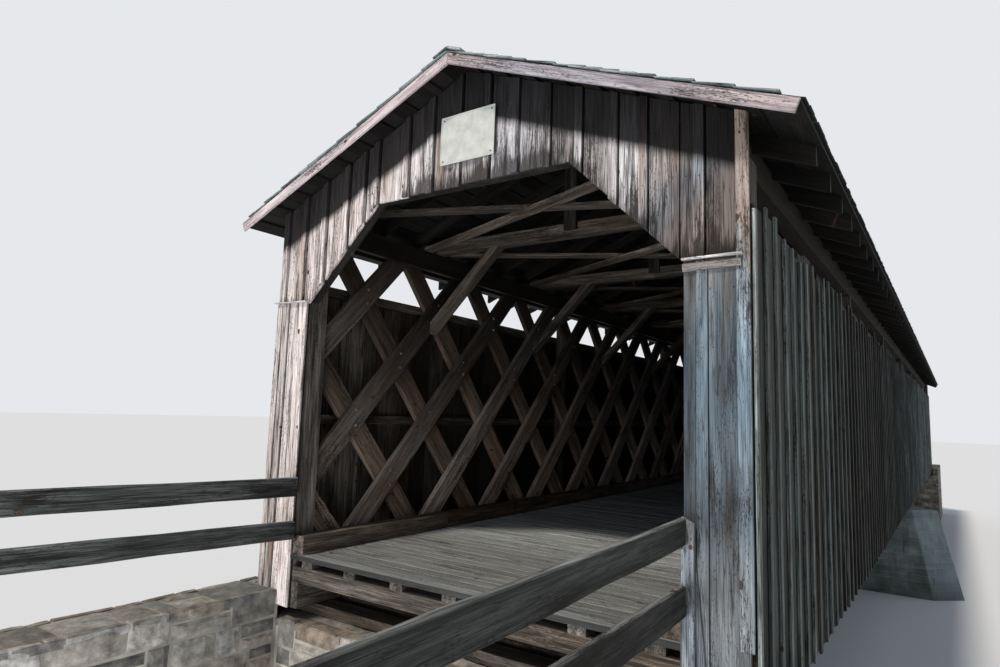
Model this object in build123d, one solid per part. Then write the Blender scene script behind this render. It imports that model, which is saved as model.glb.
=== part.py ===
"""Timber covered bridge with plank lattice trusses, on two abutments and a middle pier.

Frame: X across the road, Y along it with the near portal at -Y, Z up. The origin is the
centre of the plan at the foot of the masonry. All lengths are in millimetres.
"""
from build123d import *
from math import atan, cos, sin, tan
import os

# Main form. Heights are measured from the deck top, widths from the centre line.
BRIDGE_LENGTH = 32200        # portal face to portal face
DECK_HEIGHT = 2750           # top of the deck above the foot of the pier
OPENING_HALF_WIDTH = 2013    # the other widths follow from this one
PEAK_HEIGHT = 4594           # top of the roof boards at the ridge
ROOF_SLOPE = 0.405

# Portal opening, a rectangle with cut upper corners
SPRING_DROP = 950            # foot of the cut corners below the top of the upper chord
CORNER_CUT_WIDTH = 952
CORNER_CUT_HEIGHT = 927
FRAME_DEPTH = 100
FRAME_WIDTH = 140
LEDGE_REACH = 40
LEDGE_CAP = 25
LEDGE_FACE = 80
LEDGE_BOARD = 22
CORNER_BOARD = 72            # width left free beside the near right ledge
LEDGE_OVERRUN = 22

# Lattice trusses
PANEL = 1272                 # spacing of the lattice along the bridge
PANELS = 24
ROWS = 4                     # spaces between the lowest and the top row of crossings
LOWEST_ROW = -130            # crossings level with the floor beams
TOP_ROW_DROP = 640           # top row below the top of the upper chord
INNER_TOP_SHIFT = 175        # how far the inner planks lean on past the outer ones at the top row
INNER_FOOT_SHIFT = 150       # and how far they fall short at the lowest row
PLANK_THICKNESS = 76
PLANK_WIDTH = 254
TRUSS_SETBACK = 55           # inside face of the lattice behind the edge of the opening
INNER_CHORD = 152
OUTER_CHORD = 152
LOWER_CHORD_DEPTH = 251
UPPER_CHORD_DEPTH = 240
UPPER_INNER_CHORD = 76

# End posts, wall posts, girts and the boards of the side walls
END_POST_WIDTH = 230
WALL_POST_WIDTH = 100
WALL_POST_EVERY = 4          # panels between wall posts
GIRT_WIDTH = 76
GIRT_HEIGHT = 100
FOOT_GIRT_RISE = 77          # lowest girt above the foot of the wall
MIDDLE_GIRT = 1280
TOP_GIRT_DROP = 120          # foot of the highest girt below the top of the wall
WALL_THICKNESS = 50          # boards with their battens
WALL_TOP_DROP = 650          # top of the wall below the top of the upper chord

# Floor
DECK_THICKNESS = 51
DECK_GAP = 3
STRINGER_HEIGHT = 75
STRINGER_WIDTH = 150
STRINGERS_PER_SIDE = 3
STRINGER_MARGIN = 210        # outermost stringer in from the edge of the deck
FLOOR_BEAM_WIDTH = 200
FLOOR_BEAM_HEIGHT = 150
FLOOR_BEAM_END_GAP = 8
CURB_WIDTH = 155
CURB_HEIGHT = 180
CURB_SETBACK = 30
CURB_GAP = 8

# Roof
EAVE_OVERHANG = 346
ROOF_BOARD = 25
ROOF_BOARD_WIDTH = 150
ROOF_BOARDS = 10             # on each slope
SHINGLE_LAYER = 32
SHINGLE_OVERHANG = 22
RAKE_REACH = 280             # front of the rake board ahead of the wall face
RAKE_THICKNESS = 25
RAKE_DEPTH = 95
RAKE_MITRE = 1               # half of the joint between two rake boards at the peak
RAFTER_WIDTH = 50
RAFTER_DEPTH = 140
RAFTER_SEAT = 55             # depth of the seat cut over the outer chord
RAFTER_TAIL_SETBACK = 40
RIDGE_BOARD = 38
RIDGE_BOARD_DEPTH = 190
RIDGE_CAP_WIDTH = 150
RIDGE_CAP = 20

# Bracing under the roof
TIE_WIDTH = 150
TIE_DEPTH = 150
KNEE_DROP = 333              # foot of a knee below the top row of crossings
KNEE_WIDTH = 140
KNEE_DEPTH = 110
BRACE_WIDTH = 140
BRACE_THICKNESS = 38
BRACE_END_GAP = 12

# Masonry
BEARING_HEIGHT = 100
BEARING_TIMBER_WIDTH = 225
BEARING_PAIR_GAP = 150
BEARING_SETBACK = 68         # end of a bearing timber in from the wall face
ABUTMENT_DEPTH = 1200
CHEEK_GAP = 22               # clear space between a side wall and the cheek of the abutment
CHEEK_THICKNESS = 230
WING_THICKNESS = 600
WING_TOP = -350
WING_LENGTH = 3600
PIER_MARGIN = 70             # shoulder of the pier beyond the bearing timbers
PIER_THICKNESS = 1000
PIER_BATTER = 0.18           # how far each end leans in, for its height
PIER_SIDE_BATTER = 0.045
PIER_NOSE_RATIO = 1.1        # length of the nose for half the thickness

# Approach rails
RAIL_THICKNESS = 45
RAIL_DEPTH = 190
RAIL_SETBACK = 13            # inside face of a rail in from the edge of the opening
RAIL_FLARE = 2.6             # degrees that the rails spread outwards
LEFT_LOWER_RAIL = 105        # underside of each rail
LEFT_UPPER_RAIL = 550
RIGHT_LOWER_RAIL = 185
RIGHT_UPPER_RAIL = 622
RAIL_POST_WIDTH = 110
RAIL_POST_DEPTH = 50
RAIL_END_POST = 125
RAIL_POST_RISE = 35          # height of a post above the top rail

# Widths worked out from those above
CROWN_HALF_WIDTH = OPENING_HALF_WIDTH - CORNER_CUT_WIDTH
TRUSS_INSIDE = OPENING_HALF_WIDTH + TRUSS_SETBACK
TRUSS_OUTSIDE = TRUSS_INSIDE + 2 * PLANK_THICKNESS
CHORD_OUTSIDE = TRUSS_OUTSIDE + OUTER_CHORD
WALL_INSIDE = CHORD_OUTSIDE + GIRT_WIDTH
WALL_FACE = WALL_INSIDE + WALL_THICKNESS
EAVE_REACH = WALL_FACE + EAVE_OVERHANG
DECK_HALF_WIDTH = OPENING_HALF_WIDTH - DECK_GAP
STRINGER_SPACING = (DECK_HALF_WIDTH - STRINGER_MARGIN) / STRINGERS_PER_SIDE
BEARING_HALF_LENGTH = WALL_FACE - BEARING_SETBACK
ABUTMENT_HALF_WIDTH = WALL_FACE + CHEEK_GAP + CHEEK_THICKNESS
PIER_HALF_WIDTH = BEARING_HALF_LENGTH + PIER_MARGIN
RAIL_INSIDE = OPENING_HALF_WIDTH - RAIL_SETBACK

# Heights and lengths worked out from those above
HALF_LENGTH = BRIDGE_LENGTH / 2
FIRST_COLUMN = (BRIDGE_LENGTH - PANELS * PANEL) / 2
STRINGER_TOP = -DECK_THICKNESS
BEAM_TOP = STRINGER_TOP - STRINGER_HEIGHT
LOWER_CHORD_TOP = BEAM_TOP - FLOOR_BEAM_HEIGHT
WALL_FOOT = LOWER_CHORD_TOP - LOWER_CHORD_DEPTH
SEAT_LEVEL = WALL_FOOT - BEARING_HEIGHT
ROOF_ANGLE = atan(ROOF_SLOPE)
BOARD_DROP = ROOF_BOARD / cos(ROOF_ANGLE)
RAFTER_DROP = RAFTER_DEPTH / cos(ROOF_ANGLE)
SHINGLE_RISE = SHINGLE_LAYER / cos(ROOF_ANGLE)
RAFTER_FOOT = PEAK_HEIGHT - ROOF_SLOPE * CHORD_OUTSIDE - BOARD_DROP - RAFTER_DROP
UPPER_CHORD_TOP = RAFTER_FOOT + RAFTER_SEAT
UPPER_CHORD_BOTTOM = UPPER_CHORD_TOP - UPPER_CHORD_DEPTH
TOP_ROW = UPPER_CHORD_TOP - TOP_ROW_DROP
ROW_SPACING = (TOP_ROW - LOWEST_ROW) / ROWS
LATTICE_RISE = ROW_SPACING / (PANEL / 2)
INNER_RISE = (TOP_ROW - LOWEST_ROW) / (ROWS * PANEL / 2 + INNER_TOP_SHIFT + INNER_FOOT_SHIFT)
KNEE_FOOT = TOP_ROW - KNEE_DROP
SIDE_WALL_TOP = UPPER_CHORD_TOP - WALL_TOP_DROP
SPRING_HEIGHT = UPPER_CHORD_TOP - SPRING_DROP
CROWN_HEIGHT = SPRING_HEIGHT + CORNER_CUT_HEIGHT

os.makedirs("parts", exist_ok=True)


def along(distance):
    """Y of a point that lies this far in from the near portal face."""
    return distance - HALF_LENGTH


def level(height):
    """Z of a height measured from the deck top."""
    return DECK_HEIGHT + height


def block(x0, x1, y0, y1, z0, z1):
    """Box between two distances along the bridge and two heights from the deck."""
    corner = (x0, along(y0), level(z0))
    return Pos(*corner) * Box(x1 - x0, y1 - y0, z1 - z0, align=(Align.MIN, Align.MIN, Align.MIN))


def cross_section(points, y0, y1):
    """Solid with an outline of (x, height) points, run along the bridge from y0 to y1."""
    outline = Polyline(*[(x, along(y0), level(z)) for x, z in points], close=True)
    return extrude(make_face(outline), amount=y1 - y0, dir=(0, 1, 0))


def side_outline(points, x0, x1):
    """Solid with an outline of (distance along, height) points, between x0 and x1."""
    outline = Polyline(*[(x0, along(y), level(z)) for y, z in points], close=True)
    return extrude(make_face(outline), amount=x1 - x0, dir=(1, 0, 0))


def other_side(shape):
    """Copy of a shape on the left of the centre line."""
    return mirror(shape, about=Plane.YZ)


def other_end(shape):
    """Copy of a shape at the far end of the bridge."""
    return mirror(shape, about=Plane.XZ)


def write(name, shapes):
    """Save the solids of one named piece."""
    solids = [solid for shape in shapes for solid in shape.solids()]
    export_step(Compound(solids), f"parts/{name}.step")


def roof_line(x):
    """Height of the top of the roof boards at x."""
    return PEAK_HEIGHT - ROOF_SLOPE * abs(x)


def column(number):
    """Distance along to a column of the lattice, counted from the near end."""
    return FIRST_COLUMN + number * PANEL


# Masonry
def breast_wall():
    """Wall under the near end of the trusses, from the foot to the bearing seat."""
    half = ABUTMENT_HALF_WIDTH
    return block(-half, half, 0, ABUTMENT_DEPTH, -DECK_HEIGHT, SEAT_LEVEL)


def wing_walls():
    """Walls that run back beside the approach, with the cheeks beside the trusses."""
    inner = ABUTMENT_HALF_WIDTH - WING_THICKNESS
    wing = block(inner, ABUTMENT_HALF_WIDTH, -WING_LENGTH, 0, -DECK_HEIGHT, WING_TOP)
    cheek = block(WALL_FACE + CHEEK_GAP, ABUTMENT_HALF_WIDTH, 0, ABUTMENT_DEPTH, SEAT_LEVEL, WING_TOP)
    right = wing + cheek
    return [right, other_side(right)]


def pier_outline(height_below_seat):
    """Plan of the pier: a block with a pointed nose at each end."""
    half = PIER_THICKNESS / 2 + PIER_SIDE_BATTER * height_below_seat
    shoulder = PIER_HALF_WIDTH + PIER_BATTER * height_below_seat
    tip = shoulder + PIER_NOSE_RATIO * half
    corners = [(tip, 0), (shoulder, half), (-shoulder, half)]
    corners += [(-tip, 0), (-shoulder, -half), (shoulder, -half)]
    z = level(SEAT_LEVEL) - height_below_seat
    return make_face(Polyline(*[(x, y, z) for x, y in corners], close=True))


def pier():
    return loft([pier_outline(level(SEAT_LEVEL)), pier_outline(0)], ruled=True)


def bearing_timbers():
    """Pairs of timbers across each seat, under the lower chords."""
    pairs = []
    for centre in (ABUTMENT_DEPTH / 2, HALF_LENGTH, BRIDGE_LENGTH - ABUTMENT_DEPTH / 2):
        for y0 in (centre - BEARING_PAIR_GAP / 2 - BEARING_TIMBER_WIDTH, centre + BEARING_PAIR_GAP / 2):
            pairs.append(block(-BEARING_HALF_LENGTH, BEARING_HALF_LENGTH, y0, y0 + BEARING_TIMBER_WIDTH,
                               SEAT_LEVEL, WALL_FOOT))
    return pairs


write("near_abutment", [breast_wall()])
write("far_abutment", [other_end(breast_wall())])
write("near_wing_walls", wing_walls())
write("far_wing_walls", [other_end(wall) for wall in wing_walls()])
write("centre_pier", [pier()])
write("bearing_timbers", bearing_timbers())


# Trusses
def lattice_plank(centre, rise, x0):
    """One sloping plank, before its ends are cut. Its middle is at centre in the top row."""
    half = PLANK_WIDTH / 2 / sin(atan(abs(rise)))
    top, bottom = UPPER_CHORD_TOP + PLANK_WIDTH, WALL_FOOT - PLANK_WIDTH
    y_top = centre + (top - TOP_ROW) / rise
    y_bottom = centre + (bottom - TOP_ROW) / rise
    corners = [(y_top - half, top), (y_top + half, top)]
    corners += [(y_bottom + half, bottom), (y_bottom - half, bottom)]
    return side_outline(corners, x0, x0 + PLANK_THICKNESS)


def lattice():
    """Two layers of sloping planks, pinned into one web and cut off at the chords and ends."""
    overrun = int((UPPER_CHORD_TOP - WALL_FOOT) / INNER_RISE / PANEL) + 2
    layers = ((INNER_RISE, INNER_TOP_SHIFT, TRUSS_INSIDE), (-LATTICE_RISE, 0, TRUSS_INSIDE + PLANK_THICKNESS))
    planks = []
    for number in range(-overrun, PANELS + overrun + 1):
        for rise, shift, x0 in layers:
            centre = column(number) + shift
            run = [centre + (z - TOP_ROW) / rise for z in (WALL_FOOT, UPPER_CHORD_TOP)]
            if max(run) > WALL_THICKNESS and min(run) < BRIDGE_LENGTH - WALL_THICKNESS:
                planks.append(lattice_plank(centre, rise, x0))
    web = planks[0].fuse(*planks[1:])
    limits = block(TRUSS_INSIDE, TRUSS_OUTSIDE, WALL_THICKNESS, BRIDGE_LENGTH - WALL_THICKNESS,
                   WALL_FOOT, UPPER_CHORD_TOP)
    return web & limits


def chords(inner_width, bottom, top):
    """Inner and outer chord timbers, one each side of the lattice."""
    ends = (WALL_THICKNESS, BRIDGE_LENGTH - WALL_THICKNESS)
    inner = block(TRUSS_INSIDE - inner_width, TRUSS_INSIDE, *ends, bottom, top)
    outer = block(TRUSS_OUTSIDE, CHORD_OUTSIDE, *ends, bottom, top)
    return [inner, outer]


lower = chords(INNER_CHORD, WALL_FOOT, LOWER_CHORD_TOP)
upper = chords(UPPER_INNER_CHORD, UPPER_CHORD_BOTTOM, UPPER_CHORD_TOP)
web = lattice()
write("right_lattice", [web])
write("left_lattice", [other_side(web)])
write("right_lower_chord", lower)
write("left_lower_chord", [other_side(timber) for timber in lower])
write("right_upper_chord", upper)
write("left_upper_chord", [other_side(timber) for timber in upper])


def end_posts():
    """Posts that clamp the ends of both trusses, standing on the end sill."""
    ends = (WALL_THICKNESS, WALL_THICKNESS + END_POST_WIDTH)
    inner = block(OPENING_HALF_WIDTH, TRUSS_INSIDE, *ends, BEAM_TOP, UPPER_CHORD_BOTTOM)
    outer = block(TRUSS_OUTSIDE, WALL_INSIDE, *ends, BEAM_TOP, UPPER_CHORD_BOTTOM)
    return [inner, outer, other_side(inner), other_side(outer)]


def wall_posts():
    """Posts outside the lattice that carry the girts of the side walls."""
    posts = []
    for number in range(WALL_POST_EVERY, PANELS, WALL_POST_EVERY):
        y0 = column(number) - WALL_POST_WIDTH / 2
        post = block(TRUSS_OUTSIDE, CHORD_OUTSIDE, y0, y0 + WALL_POST_WIDTH,
                     LOWER_CHORD_TOP, UPPER_CHORD_BOTTOM)
        posts += [post, other_side(post)]
    return posts


def girts():
    """Rails along the inside of the side walls that the wall boards are nailed to."""
    setback = WALL_THICKNESS + END_POST_WIDTH
    rails = []
    for z in (WALL_FOOT + FOOT_GIRT_RISE, MIDDLE_GIRT, SIDE_WALL_TOP - TOP_GIRT_DROP):
        rail = block(CHORD_OUTSIDE, WALL_INSIDE, setback, BRIDGE_LENGTH - setback,
                     z, z + GIRT_HEIGHT)
        rails += [rail, other_side(rail)]
    return rails


write("near_end_posts", end_posts())
write("far_end_posts", [other_end(post) for post in end_posts()])
write("wall_posts", wall_posts())
write("siding_girts", girts())


# Floor
def floor_beams():
    """Cross beams that pass through the lattice and lie on the lower chords."""
    reach = WALL_INSIDE - FLOOR_BEAM_END_GAP
    beams = []
    for number in range(PANELS):
        y0 = column(number + 0.5) - FLOOR_BEAM_WIDTH / 2
        beams.append(block(-reach, reach, y0, y0 + FLOOR_BEAM_WIDTH, LOWER_CHORD_TOP, BEAM_TOP))
    sill = block(-reach, reach, WALL_THICKNESS, WALL_THICKNESS + END_POST_WIDTH, LOWER_CHORD_TOP, BEAM_TOP)
    return beams + [sill, other_end(sill)]


def stringers():
    """Lengthwise timbers between the floor beams and the deck planks."""
    rows = []
    for number in range(-STRINGERS_PER_SIDE, STRINGERS_PER_SIDE + 1):
        x0 = number * STRINGER_SPACING - STRINGER_WIDTH / 2
        rows.append(block(x0, x0 + STRINGER_WIDTH, WALL_THICKNESS, BRIDGE_LENGTH - WALL_THICKNESS,
                          BEAM_TOP, STRINGER_TOP))
    return rows


write("floor_beams", floor_beams())
write("stringers", stringers())
write("deck", [block(-DECK_HALF_WIDTH, DECK_HALF_WIDTH, 0, BRIDGE_LENGTH, STRINGER_TOP, 0)])
curb_outside = OPENING_HALF_WIDTH - CURB_GAP
curb = block(curb_outside - CURB_WIDTH, curb_outside, CURB_SETBACK, BRIDGE_LENGTH - CURB_SETBACK,
             0, CURB_HEIGHT)
write("curbs", [curb, other_side(curb)])


# Bracing under the roof
TIE_COLUMNS = [column(number) for number in range(1, PANELS, 2)]


def tie_beams():
    return [block(-TRUSS_OUTSIDE, TRUSS_OUTSIDE, y - TIE_WIDTH / 2, y + TIE_WIDTH / 2,
                  UPPER_CHORD_TOP, UPPER_CHORD_TOP + TIE_DEPTH) for y in TIE_COLUMNS]


def knee_brace(y):
    """Brace at 45 degrees from the inside of the lattice up to a tie beam."""
    half = KNEE_DEPTH / 2 / cos(atan(1))
    rise = UPPER_CHORD_TOP - KNEE_FOOT
    head = TRUSS_INSIDE - rise
    corners = [(TRUSS_INSIDE, KNEE_FOOT - half), (TRUSS_INSIDE, KNEE_FOOT + half)]
    corners += [(head + half, UPPER_CHORD_TOP), (head - half, UPPER_CHORD_TOP)]
    return cross_section(corners, y - KNEE_WIDTH / 2, y + KNEE_WIDTH / 2)


def diagonal(y0, y1, rising, layer):
    """Flat brace across one bay, from the chord at y0 to the opposite chord at y1."""
    reach = TRUSS_INSIDE - UPPER_INNER_CHORD / 2
    start, end = (y0, y1) if rising else (y1, y0)
    angle = atan((end - start) / (2 * reach))
    half = BRACE_WIDTH / 2 / cos(angle)
    z = level(UPPER_CHORD_TOP) + layer * BRACE_THICKNESS
    corners = [(-reach, start - half), (reach, end - half), (reach, end + half), (-reach, start + half)]
    outline = Polyline(*[(x, along(y), z) for x, y in corners], close=True)
    return extrude(make_face(outline), amount=BRACE_THICKNESS, dir=(0, 0, 1))


def lateral_braces(rising, layer):
    """One brace in each bay between tie beams, and in the two end bays."""
    margin = BRACE_END_GAP + BRACE_WIDTH
    stops = [WALL_THICKNESS + FRAME_DEPTH - TIE_WIDTH / 2] + TIE_COLUMNS
    stops += [BRIDGE_LENGTH - WALL_THICKNESS - FRAME_DEPTH + TIE_WIDTH / 2]
    bays = zip(stops[:-1], stops[1:])
    return [diagonal(a + TIE_WIDTH / 2 + margin, b - TIE_WIDTH / 2 - margin, rising, layer) for a, b in bays]


knees = [knee_brace(y) for y in TIE_COLUMNS]
write("tie_beams", tie_beams())
write("knee_braces", knees + [other_side(knee) for knee in knees])
write("lower_lateral_braces", lateral_braces(False, 0))
write("upper_lateral_braces", lateral_braces(True, 1))


# Roof
def rafter(y):
    """Right-hand rafter with a seat cut over the outer chord and a plumb cut at each end."""
    top = RIDGE_BOARD / 2
    tail = EAVE_REACH - RAFTER_TAIL_SETBACK
    drop = BOARD_DROP + RAFTER_DROP
    seat = (PEAK_HEIGHT - drop - UPPER_CHORD_TOP) / ROOF_SLOPE
    points = [(top, roof_line(top) - BOARD_DROP), (tail, roof_line(tail) - BOARD_DROP)]
    points += [(tail, roof_line(tail) - drop), (CHORD_OUTSIDE, RAFTER_FOOT)]
    points += [(CHORD_OUTSIDE, UPPER_CHORD_TOP), (seat, UPPER_CHORD_TOP), (top, roof_line(top) - drop)]
    return cross_section(points, y - RAFTER_WIDTH / 2, y + RAFTER_WIDTH / 2)


def sloped_layer(x0, x1, drop_top, drop_bottom, y0, y1):
    """Layer that follows the right-hand slope between two drops from the roof line."""
    points = [(x0, roof_line(x0) - drop_top), (x1, roof_line(x1) - drop_top)]
    points += [(x1, roof_line(x1) - drop_bottom), (x0, roof_line(x0) - drop_bottom)]
    return cross_section(points, y0, y1)


def roof_boards():
    """Spaced boards that run the length of the roof and out over both gables."""
    step = (EAVE_REACH - ROOF_BOARD_WIDTH) / (ROOF_BOARDS - 1)
    reach = RAKE_REACH - RAKE_THICKNESS
    return [sloped_layer(step * i, step * i + ROOF_BOARD_WIDTH, 0, BOARD_DROP, -reach, BRIDGE_LENGTH + reach)
            for i in range(ROOF_BOARDS)]


def rake_boards():
    """Boards along the edges of the near gable, cut square at the eave and plumb at the peak."""
    top = roof_line(RAKE_MITRE)
    foot = EAVE_REACH - RAKE_DEPTH * sin(ROOF_ANGLE)
    points = [(RAKE_MITRE, top), (EAVE_REACH, roof_line(EAVE_REACH))]
    points += [(foot, roof_line(EAVE_REACH) - RAKE_DEPTH * cos(ROOF_ANGLE))]
    points += [(RAKE_MITRE, top - RAKE_DEPTH / cos(ROOF_ANGLE))]
    board = cross_section(points, -RAKE_REACH, RAKE_THICKNESS - RAKE_REACH)
    return [board, other_side(board)]


RAFTER_STEP = PANEL / 2
rafter_count = int((BRIDGE_LENGTH - 2 * WALL_THICKNESS) / RAFTER_STEP)
first_rafter = HALF_LENGTH - RAFTER_STEP * (rafter_count - 1) / 2
rafters = [rafter(first_rafter + RAFTER_STEP * number) for number in range(rafter_count)]
write("right_rafters", rafters)
write("left_rafters", [other_side(timber) for timber in rafters])
ridge_top = roof_line(RIDGE_BOARD / 2) - BOARD_DROP
write("ridge_board", [block(-RIDGE_BOARD / 2, RIDGE_BOARD / 2, WALL_THICKNESS,
                            BRIDGE_LENGTH - WALL_THICKNESS, ridge_top - RIDGE_BOARD_DEPTH, ridge_top)])
write("right_roof_boards", roof_boards())
write("left_roof_boards", [other_side(board) for board in roof_boards()])
shingle_reach = RAKE_REACH + SHINGLE_OVERHANG
shingles = sloped_layer(0, EAVE_REACH + SHINGLE_OVERHANG, -SHINGLE_RISE, 0,
                        -shingle_reach, BRIDGE_LENGTH + shingle_reach)
write("right_shingle_roof", [shingles])
write("left_shingle_roof", [other_side(shingles)])
cap = sloped_layer(0, RIDGE_CAP_WIDTH, -SHINGLE_RISE - RIDGE_CAP, -SHINGLE_RISE,
                   -shingle_reach, BRIDGE_LENGTH + shingle_reach)
write("ridge_cap", [cap + other_side(cap)])
write("rake_boards", rake_boards() + [other_end(board) for board in rake_boards()])


# Walls
def gable_wall():
    """Wall over the portal, cut to the sloping corners of the opening."""
    points = [(WALL_FACE, SPRING_HEIGHT), (WALL_FACE, roof_line(WALL_FACE) - BOARD_DROP)]
    points += [(0, roof_line(0) - BOARD_DROP), (-WALL_FACE, roof_line(WALL_FACE) - BOARD_DROP)]
    points += [(-WALL_FACE, SPRING_HEIGHT), (-OPENING_HALF_WIDTH, SPRING_HEIGHT)]
    points += [(-CROWN_HALF_WIDTH, CROWN_HEIGHT), (CROWN_HALF_WIDTH, CROWN_HEIGHT)]
    points += [(OPENING_HALF_WIDTH, SPRING_HEIGHT)]
    return cross_section(points, 0, WALL_THICKNESS)


def portal_frame():
    """Timbers behind the edge of the opening, between the end posts."""
    slope = atan((CROWN_HEIGHT - SPRING_HEIGHT) / (OPENING_HALF_WIDTH - CROWN_HALF_WIDTH))
    corner_shift = FRAME_WIDTH * tan(slope / 2)
    plumb = FRAME_WIDTH / cos(slope)
    half, crown = OPENING_HALF_WIDTH, CROWN_HALF_WIDTH
    head = CROWN_HEIGHT + FRAME_WIDTH
    points = [(half, SPRING_HEIGHT), (half, SPRING_HEIGHT + plumb)]
    points += [(crown + corner_shift, head), (-crown - corner_shift, head)]
    points += [(-half, SPRING_HEIGHT + plumb), (-half, SPRING_HEIGHT)]
    points += [(-crown, CROWN_HEIGHT), (crown, CROWN_HEIGHT)]
    return cross_section(points, WALL_THICKNESS, WALL_THICKNESS + FRAME_DEPTH)


def ledge(x0, x1):
    """Drip ledge across a jamb: a cap over a narrow board."""
    cap_bottom = SPRING_HEIGHT
    foot = cap_bottom - LEDGE_FACE
    profile = [(0, foot), (0, cap_bottom + LEDGE_CAP), (-LEDGE_REACH, cap_bottom + LEDGE_CAP)]
    profile += [(-LEDGE_REACH, cap_bottom), (-LEDGE_BOARD, cap_bottom), (-LEDGE_BOARD, foot)]
    return side_outline(profile, x0, x1)


jamb = block(OPENING_HALF_WIDTH, WALL_FACE, 0, WALL_THICKNESS, WALL_FOOT, SPRING_HEIGHT)
side_wall = block(WALL_INSIDE, WALL_FACE, WALL_THICKNESS, BRIDGE_LENGTH - WALL_THICKNESS,
                  WALL_FOOT, SIDE_WALL_TOP)
write("right_siding", [side_wall])
write("left_siding", [other_side(side_wall)])
write("near_right_jamb", [jamb])
write("near_left_jamb", [other_side(jamb)])
write("far_right_jamb", [other_end(jamb)])
write("far_left_jamb", [other_end(other_side(jamb))])
write("near_gable_wall", [gable_wall()])
write("far_gable_wall", [other_end(gable_wall())])
write("near_portal_frame", [portal_frame()])
write("far_portal_frame", [other_end(portal_frame())])
ledges = [ledge(OPENING_HALF_WIDTH, WALL_FACE - CORNER_BOARD),
          ledge(-WALL_FACE - LEDGE_OVERRUN, -OPENING_HALF_WIDTH + LEDGE_OVERRUN)]
write("portal_ledges", ledges + [other_end(shape) for shape in ledges])


# Approach rails
def rail_group(bottoms):
    """Right-hand rails of the near approach with the post on the jamb and the post at the end."""
    top = max(bottoms) + RAIL_DEPTH
    far = WING_LENGTH
    rails = [block(RAIL_INSIDE, RAIL_INSIDE + RAIL_THICKNESS, -far, -RAIL_POST_DEPTH, z, z + RAIL_DEPTH)
             for z in bottoms]
    outside = RAIL_INSIDE + RAIL_THICKNESS
    head = top + RAIL_POST_RISE
    end_post = block(outside, outside + RAIL_END_POST, -far, RAIL_END_POST - far, WING_TOP, head)
    hinge = (RAIL_INSIDE, along(-RAIL_POST_DEPTH), 0)
    turn = Pos(*hinge) * Rot(0, 0, RAIL_FLARE) * Pos(*[-value for value in hinge])
    jamb_post = block(RAIL_INSIDE, RAIL_INSIDE + RAIL_POST_WIDTH, -RAIL_POST_DEPTH, 0, WALL_FOOT, head)
    return [turn * rail for rail in rails] + [turn * end_post, jamb_post]


left_rails = [other_side(timber) for timber in rail_group((LEFT_LOWER_RAIL, LEFT_UPPER_RAIL))]
near_rails = rail_group((RIGHT_LOWER_RAIL, RIGHT_UPPER_RAIL)) + left_rails
write("near_approach_rails", near_rails)
write("far_approach_rails", [other_end(shape) for shape in near_rails])
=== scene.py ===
# %% [markdown]
# # A covered timber bridge
# The bridge is a long shed of weathered boards round two lattice trusses. Its frame of timbers
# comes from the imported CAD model, which gives every size. This file gives it boards, pins,
# shingles, stones and finishes, in metres and in the same place as the model.

import math
import random

import bmesh
import bpy
from mathutils import Matrix, Vector, noise


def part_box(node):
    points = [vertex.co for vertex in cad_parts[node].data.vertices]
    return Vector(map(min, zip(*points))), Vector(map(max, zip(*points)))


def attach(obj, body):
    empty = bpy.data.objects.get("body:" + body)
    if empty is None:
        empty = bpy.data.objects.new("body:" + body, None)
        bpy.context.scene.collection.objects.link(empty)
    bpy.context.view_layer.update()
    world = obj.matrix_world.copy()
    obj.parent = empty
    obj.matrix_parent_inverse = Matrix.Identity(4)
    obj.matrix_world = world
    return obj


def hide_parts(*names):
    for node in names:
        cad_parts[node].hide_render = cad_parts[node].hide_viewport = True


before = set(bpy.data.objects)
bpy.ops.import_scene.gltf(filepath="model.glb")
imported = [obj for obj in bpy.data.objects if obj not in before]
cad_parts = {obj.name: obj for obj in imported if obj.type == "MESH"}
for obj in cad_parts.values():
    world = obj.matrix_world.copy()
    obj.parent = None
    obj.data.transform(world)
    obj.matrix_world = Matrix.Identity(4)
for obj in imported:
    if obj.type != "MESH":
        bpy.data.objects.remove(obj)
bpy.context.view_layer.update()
scene = bpy.context.scene
print("nodes in the frame:", len(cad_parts))

# %% [markdown]
# The sizes are read from the boxes of the CAD nodes, so a change there moves the boards too.
# Heights are taken from the top of the deck and distances from the near portal.

# %% Read the main sizes
deck_box, wall_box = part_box("deck"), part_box("right_siding")
truss_box, roof_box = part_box("right_lattice"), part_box("right_roof_boards")
NEAR, FAR, DECK = deck_box[0][1], deck_box[1][1], deck_box[1][2]
LENGTH = FAR - NEAR
WALL_INSIDE, WALL_FACE = wall_box[0][0], wall_box[1][0]
WALL_FOOT, WALL_TOP = wall_box[0][2] - DECK, wall_box[1][2] - DECK
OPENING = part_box("near_right_jamb")[0][0]
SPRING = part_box("near_gable_wall")[0][2] - DECK
CROWN_HALF, CROWN = 1.061, SPRING + 0.927
TRUSS_INSIDE, TRUSS_OUTSIDE, TRUSS_TOP = truss_box[0][0], truss_box[1][0], truss_box[1][2] - DECK
EAVE, PEAK = roof_box[1][0], roof_box[1][2] - DECK
ROOF_SLOPE = 0.405
ROOF_ANGLE = math.atan(ROOF_SLOPE)
ROOF_BOARD_DROP = 0.025 / math.cos(ROOF_ANGLE)
RAFTER_LONG = EAVE / math.cos(ROOF_ANGLE)
EAST, NORTH, UP = Vector((1, 0, 0)), Vector((0, 1, 0)), Vector((0, 0, 1))
DOWN_ROOF = Vector((math.cos(ROOF_ANGLE), 0, -math.sin(ROOF_ANGLE)))
OFF_ROOF = Vector((math.sin(ROOF_ANGLE), 0, math.cos(ROOF_ANGLE)))
ENDS, SIDES = ((1, "near"), (-1, "far")), ((1, "right"), (-1, "left"))
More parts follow.
